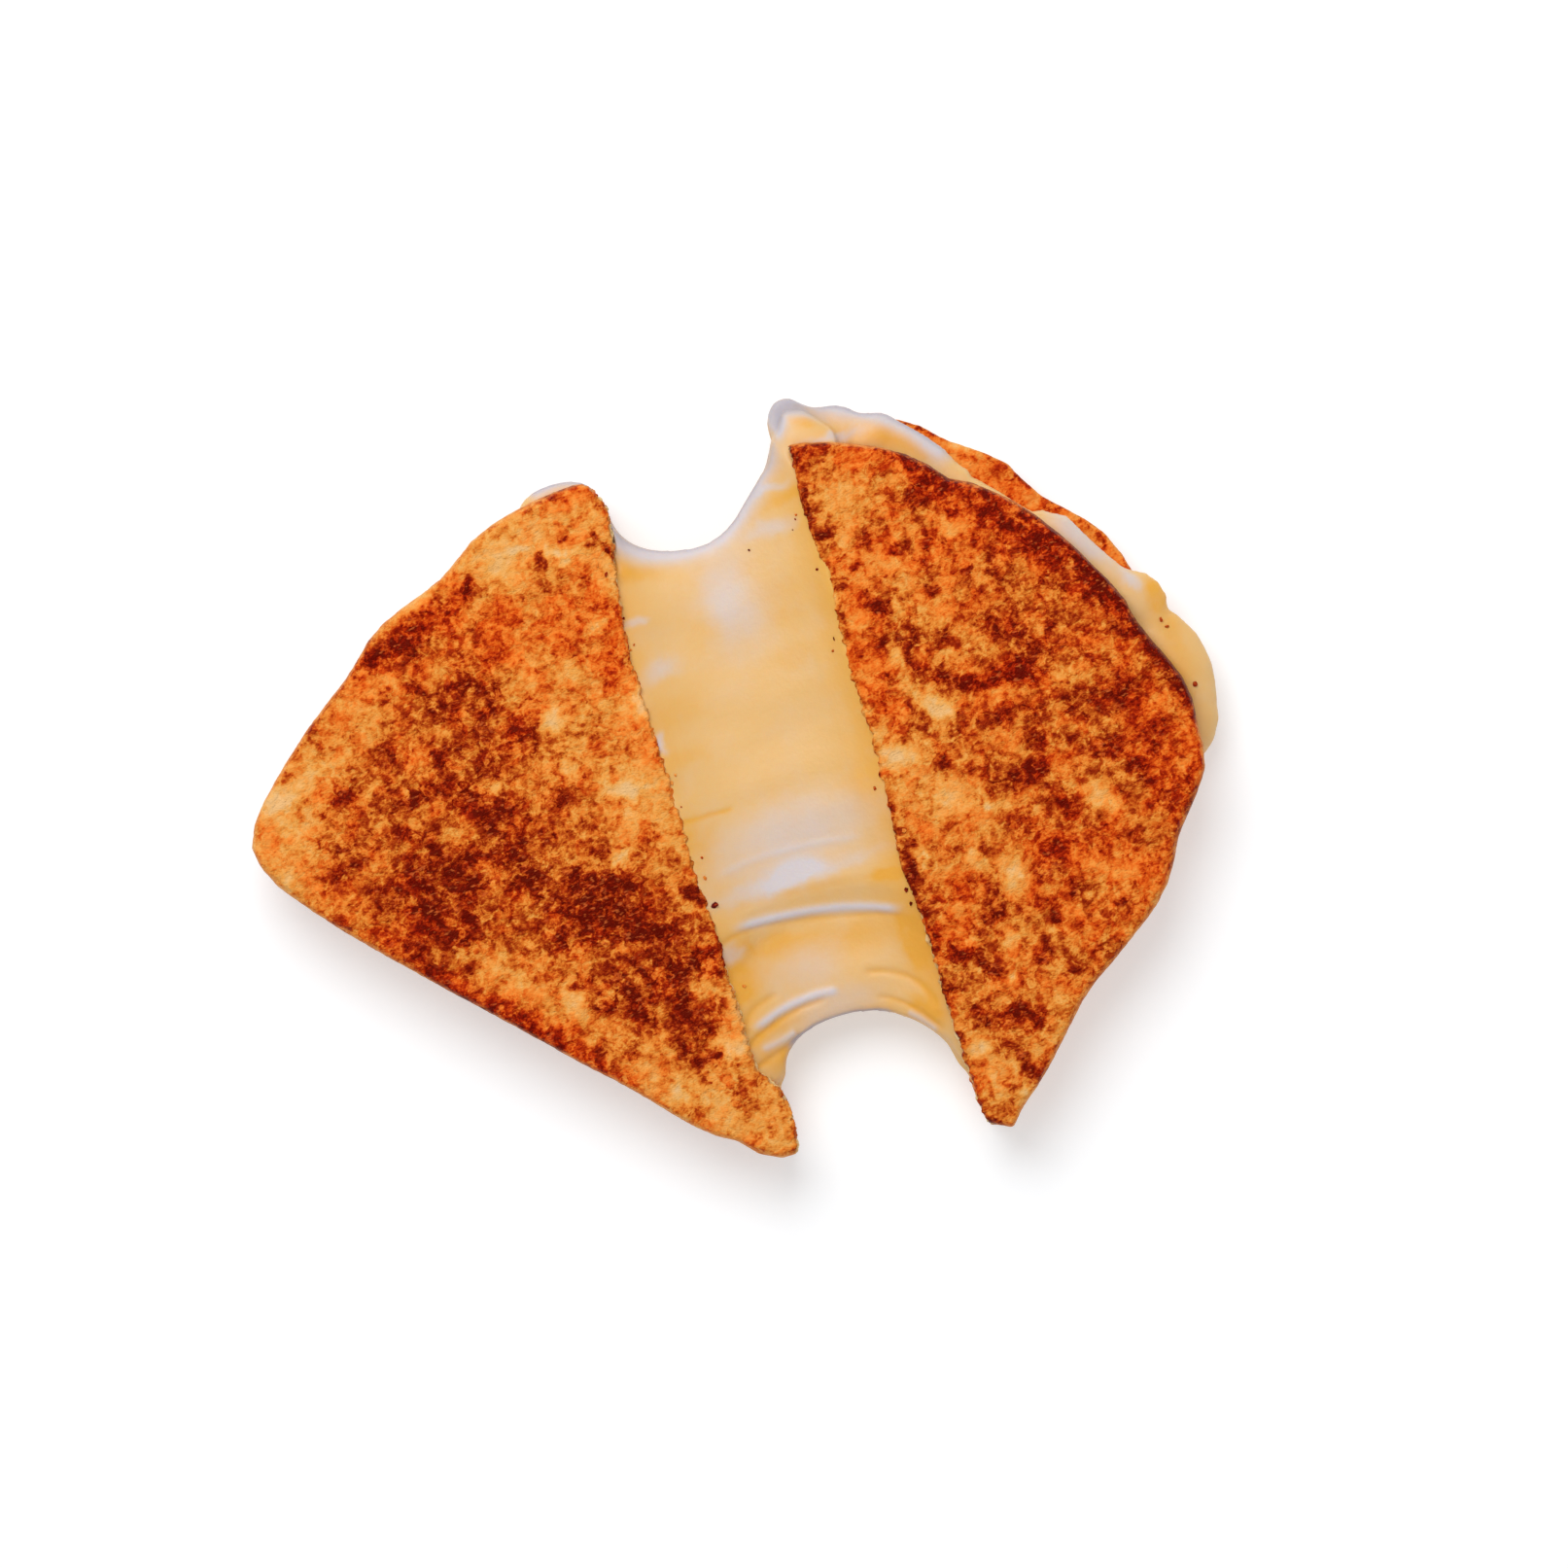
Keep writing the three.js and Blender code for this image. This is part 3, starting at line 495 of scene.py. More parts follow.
def fine_copy(node, name, step, softening):
    """An even, closed mesh of a CAD solid, with its facets smoothed away."""
    shape = bmesh.new()
    shape.from_mesh(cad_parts[node].data)
    bmesh.ops.remove_doubles(shape, verts=shape.verts, dist=0.005 * MM)
    piece = new_piece(name, shape)
    even = piece.modifiers.new("Even Mesh", "REMESH")
    even.mode = "VOXEL"
    even.voxel_size = step
    soften = piece.modifiers.new("Soften", "SMOOTH")
    soften.factor = 0.5
    soften.iterations = softening
    return applied(piece)


def vectors(rows, name):
    """A vector of every row of a mesh's data."""
    flat = np.empty(len(rows) * 3, np.float32)
    rows.foreach_get(name, flat)
    return flat.reshape(-1, 3).astype(float)


def spots_of(mesh):
    """Every vertex of a mesh, in millimetres, and the normal there."""
    return vectors(mesh.vertices, "co") / MM, vectors(mesh.vertex_normals, "vector")


def move_to(mesh, spots):
    """Puts every vertex at its spot, in millimetres, and shades the mesh smooth."""
    mesh.vertices.foreach_set("co", (spots * MM).astype(np.float32).ravel())
    mesh.shade_smooth()
    mesh.update()


def paint(mesh, name, values):
    """Keeps a number per vertex, for the material."""
    layer = mesh.attributes.new(name, "FLOAT", "POINT")
    layer.data.foreach_set("value", values.astype(np.float32))


def ease(value, low, high):
    """0 below low, 1 above high and a smooth step between them."""
    share = np.clip((value - low) / (high - low), 0, 1)
    return share * share * (3 - 2 * share)


def clouds(spots, size, seed, octaves=3, fading=0.7):
    """Cloudy noise at each spot, about -1 to 1, with features of a size in millimetres."""
    shift = Vector((37.1, -17.3, 5.7)) * seed
    return np.array([
        noise.fractal(Vector(spot) / size + shift, fading, 2.0, octaves) for spot in spots
    ])


def pores(spots, size, seed):
    """How deep in a pore each spot is, from 0 between pores to 1."""
    shift = Vector((11.9, 23.3, -7.1)) * seed
    near = np.array([noise.voronoi(Vector(spot) / size + shift)[0][0] for spot in spots])
    return 1 - ease(near, 0.15, 0.5)


def warped(spots, size, reach, seed):
    """Spots moved about sideways by noise, which makes the edge of a mark ragged."""
    moved = spots.copy()
    moved[:, 0] += reach * clouds(spots, size, seed)
    moved[:, 1] += reach * clouds(spots, size, seed + 1)
    return moved


def oval(spots, x, y, length=SMALL, width=None, turn=0):
    """How near each spot is to the middle of a mark: 1 there, and fading to 0 past its edge."""
    across, up = spots[:, 0] - x, spots[:, 1] - y
    cos, sin = math.cos(math.radians(turn)), math.sin(math.radians(turn))
    u = (across * cos + up * sin) / length
    v = (up * cos - across * sin) / (width or length)
    return np.exp(-((u * u + v * v) ** MARK_EDGE))


def marked(spots, marks):
    """Strength of all marks together at each spot."""
    total = np.zeros(len(spots))
    for strength, ovals in marks.items():
        for mark in ovals:
            total += strength * oval(spots, *mark)
    return total


def rounded_line(points, rounds=2):
    """A line with its corners cut, which makes it smooth."""
    line = np.array(points, float)
    for _ in range(rounds):
        near, far = line[:-1] * 0.75 + line[1:] * 0.25, line[:-1] * 0.25 + line[1:] * 0.75
        middle = np.stack([near, far], axis=1).reshape(-1, 2)
        line = np.vstack([line[:1], middle, line[-1:]])
    return line


def nearness(spots, points, width):
    """1 on a line, and fading to 0 past its width and its ends."""
    line = rounded_line(points)
    best = np.full(len(spots), 1e9)
    share = np.zeros(len(spots))
    lengths = np.linalg.norm(np.diff(line, axis=0), axis=1)
    begun = np.concatenate([[0], np.cumsum(lengths)]) / lengths.sum()
    for i, (start, end) in enumerate(zip(line[:-1], line[1:])):
        along = end - start
        t = np.clip(((spots[:, :2] - start) @ along) / (along @ along), 0, 1)
        gap = np.linalg.norm(spots[:, :2] - start - t[:, None] * along, axis=1)
        closer = gap < best
        best[closer] = gap[closer]
        share[closer] = (begun[i] + t * (begun[i + 1] - begun[i]))[closer]
    ends = ease(share, 0, END_SHARE) * ease(1 - share, 0, END_SHARE)
    return np.exp(-((best / width) ** 2)) * ends


# ---- Toast ----

SEED_STEP = 20  # keeps the noise of one slice apart from that of the next
SMOOTHING = 4.4  # rounds of smoothing that a mesh with a step of 1 mm would need
LEVEL = (0.15, 0.7)  # upward part of the normal: a side below the first, a face above the second
FLAT_BELOW = 0.3  # height up to which a slice stays flat on the table
TORN_EDGE = (12, 20)  # heights between which the cut edge grows ragged
TEAR_REACH = 1.3  # how far from the cut face that shows
SKIN = (1.6, 3.0)  # distances from the middle height between which crumb turns to browned skin


def cut_face(spots, facing, half):
    """1 on a half's cut face and 0 elsewhere."""
    looks, within = CUT_FACES[half]
    inside = ease((spots[:, 0] - within) * looks, -1, 1)
    return ease(facing[:, 0] * looks, 0.35, 0.75) * inside


def cut_line(spots, cut):
    """X of the cut face at each spot's own Y."""
    wall = spots[cut > 0.6]
    rows = np.round(wall[:, 1]).astype(int)
    levels = np.unique(rows)
    middles = [wall[rows == level, 0].mean() for level in levels]
    return np.interp(spots[:, 1], levels, middles)


def saturated(browning):
    """Browning that grows ever more slowly past its knee, which keeps the darkest toast lively."""
    knee, room = 0.6, 0.26
    past = np.maximum(0, browning - knee)
    return np.clip(np.minimum(browning, knee) + room * (1 - np.exp(-past / room)), 0, 1)


def toast_slice(node, name, step, toast, seed):
    """A slice of toast: craggy browned faces, a smooth crust and a torn crumb where it was cut."""
    half = "left" if node.endswith("left") else "right"
    piece = fine_copy(node, name, step, round(SMOOTHING * MM / step))
    mesh = piece.data
    spots, facing = spots_of(mesh)
    middle = (spots[:, 2].min() + spots[:, 2].max()) / 2
    level = ease(np.abs(facing[:, 2]), *LEVEL)
    cut = cut_face(spots, facing, half) * (1 - level)
    side = (1 - level) * (1 - cut)

    swell = clouds(spots, 5.5, seed)
    crags = clouds(spots, 2.2, seed + 3)
    pits = np.maximum(0, 0.45 - 0.5 * swell - 0.75 * crags)
    depth = toast.crag_depth / MM * np.clip(pits, 0, 1.3) * (0.35 + 0.65 * level)
    torn = np.zeros(len(spots))
    where = cut > 0.02
    torn[where] = np.maximum(
        pores(spots[where], 2.3, seed), 0.7 * pores(spots[where], 1.3, seed + 2))
    depth += toast.pore_depth / MM * cut * torn
    depth[spots[:, 2] < FLAT_BELOW] = 0
    moved = spots - facing * depth[:, None]
    edge = np.exp(-(((spots[:, 0] - cut_line(spots, cut)) / TEAR_REACH) ** 2))
    edge *= ease(spots[:, 2], *TORN_EDGE)
    tears = 0.75 * clouds(spots, 2.0, seed + 15, 2) + 0.55 * clouds(spots, 0.9, seed + 16, 2)
    moved[:, 0] += toast.tear_depth / MM * edge * tears
    for y, reach, far in FRAYS[half]:
        fray = np.exp(-(((spots[:, 1] - y) / reach) ** 2))
        moved[:, 0] += CUT_FACES[half][0] * far * edge * fray * (0.8 + 0.6 * tears)
    move_to(mesh, moved)

    base, marks, embers = BROWNING[node]
    ragged = warped(warped(spots, 3.4, 1.3, seed + 5), 1.2, 0.5, seed + 8)
    browning = base + marked(ragged, marks)
    browning += 0.03 * clouds(spots, 13, seed + 11) + 0.08 * clouds(spots, 4.2, seed + 12)
    browning += 0.12 * clouds(spots, 1.5, seed + 13) + 0.06 * (swell + crags)
    paint(mesh, "browning", saturated(browning))
    redder = marked(warped(spots, 6, 2.5, seed + 18), embers)
    redder += 0.15 + 0.6 * clouds(spots, 7.0, seed + 20, 2) + 0.3 * clouds(spots, 2.4, seed + 21, 2)
    paint(mesh, "ember", np.clip(redder, 0, 1))
    paint(mesh, "crust", side)
    skin = ease(np.abs(spots[:, 2] - middle), *SKIN)
    paint(mesh, "crumb", cut * (1 - skin))
    paint(mesh, "pores", torn)
    return piece


def finish_piece(piece, material, slot, *nodes):
    """Gives a piece its material, and its place in the frame."""
    piece.data.materials.clear()
    piece.data.materials.append(material)
    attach(piece, BODY)
    if nodes:
        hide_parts(*nodes)


# ---- Materials ----

# Sockets of a Mix node that mixes colours. It has others of the same names.
MIX_SHARE, MIX_FIRST, MIX_SECOND, MIX_RESULT = 0, 6, 7, 2


def node(tree, kind, inputs=(), **settings):
    """A new node with its settings made, and its inputs set or linked."""
    made = tree.nodes.new("ShaderNode" + kind)
    for name, value in settings.items():
        setattr(made, name, value)
    for socket, value in dict(inputs).items():
        if isinstance(value, bpy.types.NodeSocket):
            tree.links.new(value, made.inputs[socket])
        else:
            made.inputs[socket].default_value = value
    return made


def maths(tree, operation, first, second=0.0, third=0.0, clamp=False):
    """The result of one step of arithmetic."""
    made = node(
        tree, "Math", {0: first, 1: second, 2: third}, operation=operation, use_clamp=clamp)
    return made.outputs[0]


def weighed(tree, *parts):
    """The sum of values, each with its weight."""
    total = 0.0
    for value, weight in parts:
        total = maths(tree, "MULTIPLY_ADD", value, weight, total)
    return total


def blended_colour(tree, share, first, second):
    """A colour between two others, each a socket or a plain colour."""
    made = node(
        tree, "Mix", {MIX_SHARE: share, MIX_FIRST: first, MIX_SECOND: second}, data_type="RGBA")
    return made.outputs[MIX_RESULT]


def tone_ramp(tree, share, tones):
    """The colour of a share along a row of tones."""
    made = node(tree, "ValToRGB", {"Fac": share})
    ramp = made.color_ramp
    while len(ramp.elements) > 1:
        ramp.elements.remove(ramp.elements[-1])
    for i, (place, *colour) in enumerate(tones):
        element = ramp.elements[0] if i == 0 else ramp.elements.new(place)
        element.position = place
        element.color = (*display(*colour), 1)
    return made.outputs["Color"]


def attribute(tree, name):
    """A number that the mesh keeps for each vertex."""
    return node(tree, "Attribute", attribute_name=name).outputs["Fac"]


def grain(tree, place, size, detail=3.0, roughness=0.7, distortion=0.0):
    """Noise with features of a size in millimetres, from 0 to 1."""
    made = node(tree, "TexNoise", {
        "Vector": place, "Scale": 1 / (size * MM), "Detail": detail,
        "Roughness": roughness, "Distortion": distortion,
    })
    return made.outputs["Fac"]


def centred(tree, value):
    """Noise from 0 to 1, moved to lie evenly about 0."""
    return maths(tree, "SUBTRACT", value, 0.5)


def shifted(tree, place, size, reach):
    """A place, moved about by noise with features of a size, both in millimetres."""
    noise_at = node(tree, "TexNoise", {"Vector": place, "Scale": 1 / (size * MM), "Detail": 2.0})
    turn = node(tree, "VectorMath", {0: noise_at.outputs["Color"], 1: (0.5, 0.5, 0.5)},
                operation="SUBTRACT")
    moved = node(tree, "VectorMath", {
        0: turn.outputs[0], 1: (reach * MM,) * 3, 2: place}, operation="MULTIPLY_ADD")
    return moved.outputs[0]


def laid_along(tree, place, turn, stretch):
    """A place in which noise comes out longer along a direction, in degrees from +X."""
    made = node(tree, "Mapping", {
        "Vector": place, "Rotation": (0, 0, math.radians(-turn)), "Scale": (1 / stretch, 1, 1),
    })
    return made.outputs[0]


def patches(tree, place, size):
    """Two values that are even within patches of a size in millimetres, about 0 on average."""
    made = node(tree, "TexVoronoi", {"Vector": place, "Scale": 1 / (size * MM)})
    split = node(tree, "SeparateColor", {"Color": made.outputs["Color"]})
    return centred(tree, split.outputs["Red"]), centred(tree, split.outputs["Green"])


def new_group(name, inputs, outputs):
    """A shader node group, its input node, and its output node, which takes plain numbers."""
    group = bpy.data.node_groups.new(name, "ShaderNodeTree")
    for title, kind in inputs.items():
        group.interface.new_socket(title, in_out="INPUT", socket_type="NodeSocket" + kind)
    for title in outputs:
        group.interface.new_socket(title, in_out="OUTPUT", socket_type="NodeSocketFloat")
    return group, group.nodes.new("NodeGroupInput"), group.nodes.new("NodeGroupOutput")


def toast_grain_group():
    """Fine grain of toasted bread: how it changes the browning, its height, its redness, and where
    painted glints show.
    """
    name = "Toast Grain"
    if name in bpy.data.node_groups:
        return bpy.data.node_groups[name]
    group, given, result = new_group(
        name, {"Place": "Vector", "Browning": "Float", "Graininess": "Float"},
        ["Browning", "Height", "Chips", "Redness"])
    place, browning = given.outputs["Place"], given.outputs["Browning"]
    ragged = shifted(group, shifted(group, place, 3.0, 3.4), 0.9, 1.0)
    flakes = laid_along(group, place, 35, 1.7)
    speckle = centred(group, grain(group, flakes, 0.6, 1, 0.8))
    blotch = grain(group, ragged, 2.2, 3, 0.7, 0.3)
    blotch = centred(group, maths(group, "MULTIPLY_ADD", blotch, 5.0, -2.0, clamp=True))
    broad, broad_hue = patches(group, ragged, 4.2)
    narrow, narrow_hue = patches(group, ragged, 1.7)
    detail = weighed(
        group, (1.0, 0.1), (speckle, 0.55), (blotch, 0.3), (broad, 0.18), (narrow, 0.16))
    amount = maths(group, "MULTIPLY_ADD", browning, 1.7, 0.0)
    amount = maths(group, "MULTIPLY", amount, given.outputs["Graininess"])
    # Painted glints: small pinkish highlights, only on well browned toast.
    painted_glints = grain(group, laid_along(group, place, 20, 2.2), 0.8, 1, 0.6)
    painted_glints = maths(group, "MULTIPLY_ADD", painted_glints, 9.0, -5.4, clamp=True)
    shown = maths(group, "MULTIPLY_ADD", browning, 3.0, -1.3, clamp=True)
    for output, value in {
        "Browning": maths(group, "MULTIPLY_ADD", detail, amount, browning),
        "Height": weighed(group, (speckle, 1.0), (blotch, 0.2), (broad, -0.2), (narrow, -0.2)),
        "Chips": maths(group, "MULTIPLY", painted_glints, shown),
        "Redness": weighed(group, (broad_hue, 0.7), (narrow_hue, 0.5)),
    }.items():
        group.links.new(value, result.inputs[output])
    return group


def object_place(tree):
    """Where the surface is, in the object's own coordinates."""
    return node(tree, "TexCoord").outputs["Object"]


def new_material(name):
    """A material with an empty tree, and the tree."""
    material = bpy.data.materials.new(name)
    material.use_nodes = True
    material.node_tree.nodes.clear()
    return material, material.node_tree


def shade(tree, inputs):
    """Ends the tree of a material with a Principled BSDF."""
    shader = node(tree, "BsdfPrincipled", inputs)
    node(tree, "OutputMaterial", {"Surface": shader.outputs["BSDF"]})


def relief(tree, height, distance, strength):
    """The normal, bumped by a height."""
    bump = node(tree, "Bump", {"Height": height, "Distance": distance, "Strength": strength})
    return bump.outputs["Normal"]


def toasted_grain(tree, place, toast):
    """What the grain group makes of the browning that the mesh keeps."""
    given = {
        "Place": place, "Browning": attribute(tree, "browning"), "Graininess": toast.graininess}
    return node(tree, "Group", given, node_tree=toast_grain_group()).outputs


def toast_material(name, toast):
    """Browned toast with its crust and its torn crumb."""
    material, tree = new_material(name)
    place = object_place(tree)
    toasted = toasted_grain(tree, place, toast)
    face = tone_ramp(tree, toasted["Browning"], TOAST_TONES)
    ember = tone_ramp(tree, toasted["Browning"], EMBER_TONES)
    redness = maths(tree, "ADD", attribute(tree, "ember"), toasted["Redness"], clamp=True)
    face = blended_colour(tree, redness, face, ember)
    # Painted glints mixed into the colour.
    painted_glints = maths(tree, "MULTIPLY", toasted["Chips"], PAINTED_GLINT_STRENGTH)
    face = blended_colour(tree, painted_glints, face, (*PAINTED_GLINT_COLOUR, 1))
    crust = tone_ramp(tree, toasted["Browning"], CRUST_TONES)
    fibres = grain(tree, place, 1.6, 4, 0.7)
    pale = maths(tree, "ADD", maths(tree, "MULTIPLY", attribute(tree, "pores"), 0.45),
                 maths(tree, "MULTIPLY", fibres, 0.8))
    crumb = tone_ramp(tree, pale, CRUMB_TONES)
    colour = blended_colour(tree, attribute(tree, "crust"), face, crust)
    colour = blended_colour(tree, attribute(tree, "crumb"), colour, crumb)
    shine = maths(tree, "MULTIPLY", toasted["Browning"], 0.22)
    shade(tree, {
        "Base Color": colour, "Roughness": maths(tree, "SUBTRACT", 0.72, shine),
        "Specular IOR Level": 0.12, "Specular Tint": (1, 0.5, 0.2, 1),
        "Normal": relief(tree, toasted["Height"], 0.5 * MM, 0.8),
    })
    return material


def cheese_material(cheese):
    """Melted cheese: creamy, amber where thick and pale where thin, with painted highlights,
    painted shade on the steep free edges, and an oily shine.
    """
    material, tree = new_material("Melted Cheese")
    place = object_place(tree)
    drift = centred(tree, grain(tree, place, 9, 3, 0.6))
    amber = maths(tree, "MULTIPLY_ADD", drift, 0.35, attribute(tree, "amber"), clamp=True)
    milky = maths(tree, "MULTIPLY_ADD", drift, -0.4, attribute(tree, "milky"), clamp=True)
    colour = blended_colour(tree, amber, (*cheese.cream, 1), (*cheese.amber, 1))
    # Pale where thin, with painted highlights on the fold crests and free edges.
    colour = blended_colour(tree, milky, colour, (*cheese.milky, 1))
    # Painted shade: the steep free edges are tinted grey-lilac.
    colour = blended_colour(tree, attribute(tree, "rim"), colour, (*cheese.rim, 1))
    film = grain(tree, place, 3.2, 3, 0.6)
    dimples = weighed(tree, (grain(tree, place, 1.1, 2, 0.5), 1.0), (film, 1.5))
    shade(tree, {
        "Base Color": colour, "Roughness": maths(tree, "MULTIPLY_ADD", film, 0.3, 0.3),
        "Specular IOR Level": 0.3, "Subsurface Weight": 0.25,
        "Subsurface Radius": (1.0, 0.6, 0.3), "Subsurface Scale": 2.5 * MM,
        "Normal": relief(tree, dimples, 0.12 * MM, 0.5),
    })
    return material


def crumb_material(toast):
    """Loose crumbs, each with its own browning."""
    material, tree = new_material("Toast Crumbs")
    toasted = toasted_grain(tree, object_place(tree), toast)
    shade(tree, {
        "Base Color": tone_ramp(tree, toasted["Browning"], TOAST_TONES), "Roughness": 0.7,
        "Specular IOR Level": 0.12, "Normal": relief(tree, toasted["Height"], 0.3 * MM, 0.6),
    })
    return material


def floor_material(colour):
    """Plain pale floor with the faintest unevenness."""
    material, tree = new_material("Studio Floor")
    cloud = grain(tree, object_place(tree), 400, 2, 0.5)
    darker = [0.985 * part for part in colour]
    shade(tree, {
        "Base Color": blended_colour(tree, cloud, (*darker, 1), (*colour, 1)), "Roughness": 0.9,
        "Specular IOR Level": 0.2, "Emission Color": (1, 1, 1, 1), "Emission Strength": 0.4,
    })
    return material


# ---- Cheese ----

SHEET = (-17, 33)  # lowest and highest x of the sheet
SEAM_FLOOR, SEAM_ROOF = (10.4, 11.4), (15.6, 16.6)  # heights between which a seam starts and ends
CHEESE_SMOOTHING = 6
STILL_BELOW = 9  # height under which nothing ripples


def finer_where(piece, chosen):
    """Halves the mesh step of a piece where a test of a face's middle, in millimetres, holds."""
    shape = bmesh.new()
    shape.from_mesh(piece.data)
    edges = set()
    for face in shape.faces:
        if chosen(face.calc_center_median() / MM, face.normal):
            edges.update(face.edges)
    bmesh.ops.subdivide_edges(
        shape, edges=list(edges), cuts=1, use_grid_fill=True, smooth=0.0)
    shape.to_mesh(piece.data)
    shape.free()


def grown_into_toast(spots):
    """Spots of the cheese, drawn past the edges of toast that it clings to, so no gap shows."""
    drawn = spots.copy()
    across, along, up = spots.T
    seam = ease(up, *SEAM_FLOOR) * (1 - ease(up, *SEAM_ROOF))
    left = (1 - ease(across, -14, -9)) * ease(across, -24, -19)
    right = ease(across, 23.5, 28.5) * (1 - ease(across, 33, 38))
    sheet = ease(along, -76, -70) * (1 - ease(along, 66, 74))
    drawn[:, 0] += 1.6 * (right - left) * (1 - seam) * sheet
    drawn[:, 2] += 0.8 * (right**2 + left**2) * ease(up, 17, 20) * sheet
    lip = ease(across, 28, 31) * (1 - ease(across, 44, 52)) * ease(along, 66, 70)
    drawn[:, 1] -= 1.4 * lip * ease(up, *SEAM_ROOF)
    bare = nearness(spots, BARE_RIM, BARE_REACH)
    drawn[:, :2] += DRAWN_IN * bare[:, None] * DRAWN_ALONG
    return drawn


def melted_cheese(name, cheese):
    """The cheese: two seams and the rippled sheet stretched between them."""
    piece = fine_copy("cheese", name, cheese.mesh_step, CHEESE_SMOOTHING)
    finer_where(
        piece, lambda middle, normal: SHEET[0] < middle.x < SHEET[1] and normal.z > 0.1)
    mesh = piece.data
    spots, facing = spots_of(mesh)
    upward = ease(facing[:, 2], 0.1, 0.6)
    ripples = clouds(spots * [0.35, 1, 1], 7.5, 41, 1)
    rise = cheese.ripple_depth / MM * ripples * (0.4 + 0.6 * upward)
    amber = marked(warped(spots, 6, 1.2, 43), AMBER_MARKS)
    # Pale where thin, partly a painted highlight.
    milky = marked(warped(spots, 5, 1.0, 45), MILKY_AND_HIGHLIGHT_MARKS)
    rim = np.zeros(len(spots))
    # Painted shade: the steep sides of the free edges, above the seams, are darkened.
    steep_shade = (1 - ease(facing[:, 2], 0.4, 0.95)) * ease(spots[:, 2], 8, 12)
    for width, does, line in FOLDS:
        near = nearness(spots, line, width)
        rim += does.get("rim", 0) * near * steep_shade
        near *= upward
        rise += does.get("rise", 0) * near
        amber += does.get("amber", 0) * near
        milky += does.get("milky", 0) * near
    rise[spots[:, 2] < STILL_BELOW] = 0
    move_to(mesh, grown_into_toast(spots) + facing * rise[:, None])
    paint(mesh, "amber", np.clip(amber, 0, 1))
    paint(mesh, "milky", np.clip(milky, 0, 1))
    paint(mesh, "rim", np.clip(rim, 0, 1))
    return piece


# ---- Crumbs ----


def surface_below(pieces):
    """A search tree of the surfaces that crumbs can lie on."""
    corners, faces = [], []
    for piece in pieces:
        start = len(corners)
        corners += [v.co for v in piece.data.vertices]
        faces += [[start + i for i in p.vertices] for p in piece.data.polygons]
    return BVHTree.FromPolygons(corners, faces)


def loose_crumbs(name, crumbs, pieces):
    """Small broken crumbs that lie on the toast and on the cheese beside its cut edges."""
    draw = np.random.default_rng(crumbs.seed)
    ground = surface_below(pieces)
    size = crumbs.size / MM
    wanted = [
        (draw.uniform(x0, x1), draw.uniform(y0, y1), size * draw.uniform(0.6, 1.5),
         draw.uniform(0.3, 0.75))
        for count, x0, x1, y0, y1 in CRUMB_STRIPS for _ in range(count)
    ]
    wanted += BURNT_CRUMBS
    shape = bmesh.new()
    tones = []
    for x, y, half, browning in wanted:
        spot, *_ = ground.ray_cast(Vector((x, y, DROPPED_FROM)) * MM, Vector((0, 0, -1)))
        if spot is None:
            continue
        turn = Matrix.Rotation(draw.uniform(0, math.tau), 4, "Z")
        stretch = Matrix.Diagonal((*draw.uniform(0.6, 1.4, 2), 0.7, 1))
        at = Matrix.Translation(spot + Vector((0, 0, 0.3 * half * MM)))
        made = bmesh.ops.create_icosphere(
            shape, subdivisions=1, radius=half * MM, matrix=at @ turn @ stretch)
        for vert in made["verts"]:
            vert.co += Vector(draw.uniform(-0.3, 0.3, 3)) * half * MM
            tones.append(browning)
    piece = new_piece(name, shape)
    paint(piece.data, "browning", np.array(tones))
    return piece


# ---- Operators ----


class SANDWICH_OT_slices(bpy.types.Operator):
    """Make the four slices of toast"""

    bl_idname = "sandwich.slices"
    bl_label = "Slices"

    def execute(self, context):
        toast = context.scene.sandwich_toast
        for seed, (cad, name, slot, title) in enumerate(SLICES, start=1):
            step = toast.upper_step if "upper" in cad else toast.lower_step
            piece = toast_slice(cad, name, step, toast, seed * SEED_STEP)
            material = bpy.data.materials.get(title) or toast_material(title, toast)
            finish_piece(piece, material, slot, cad)
        return {"FINISHED"}


class SANDWICH_OT_melted_cheese(bpy.types.Operator):
    """Make the melted cheese"""

    bl_idname = "sandwich.melted_cheese"
    bl_label = "Melted Cheese"

    def execute(self, context):
        cheese = context.scene.sandwich_cheese
        piece = melted_cheese(CHEESE, cheese)
        finish_piece(piece, cheese_material(cheese), "melted_cheese", "cheese")
        return {"FINISHED"}


class SANDWICH_OT_crumbs(bpy.types.Operator):
    """Scatter loose crumbs over the toast and the cheese"""

    bl_idname = "sandwich.crumbs"
    bl_label = "Crumbs"

    def execute(self, context):
        scene = context.scene
        ground = [bpy.data.objects[name] for name in (SLICES[0][1], SLICES[1][1], CHEESE)]
        piece = loose_crumbs("toast_crumbs", scene.sandwich_crumbs, ground)
        finish_piece(piece, crumb_material(scene.sandwich_toast), "toast_right")
        return {"FINISHED"}


class SANDWICH_OT_stage(bpy.types.Operator):
    """Make the floor, the lights and the camera"""

    bl_idname = "sandwich.stage"
    bl_label = "Stage"

    def execute(self, context):
        studio = context.scene.sandwich_studio
        make_floor(studio)
        make_lights(context.scene, studio)
        make_camera(context.scene, studio)
        return {"FINISHED"}


# ---- Stage ----

# How far the view is turned from the part's own +Y, and the spot under the middle of the view.
VIEW_TURN = math.radians(-17.7)
VIEW_MIDDLE = (8.6, 2.75)
TOAST_FACE = 20  # height that the camera's own height is measured from
SENSOR = 36.0
# In metres: the floor, the lamp, and how far it is up the view, to its left and over the floor.
FLOOR_SIZE = 12.0
LAMP_SIZE = 0.9
LAMP_PLACE = (0.62, 0.28, 1.25)


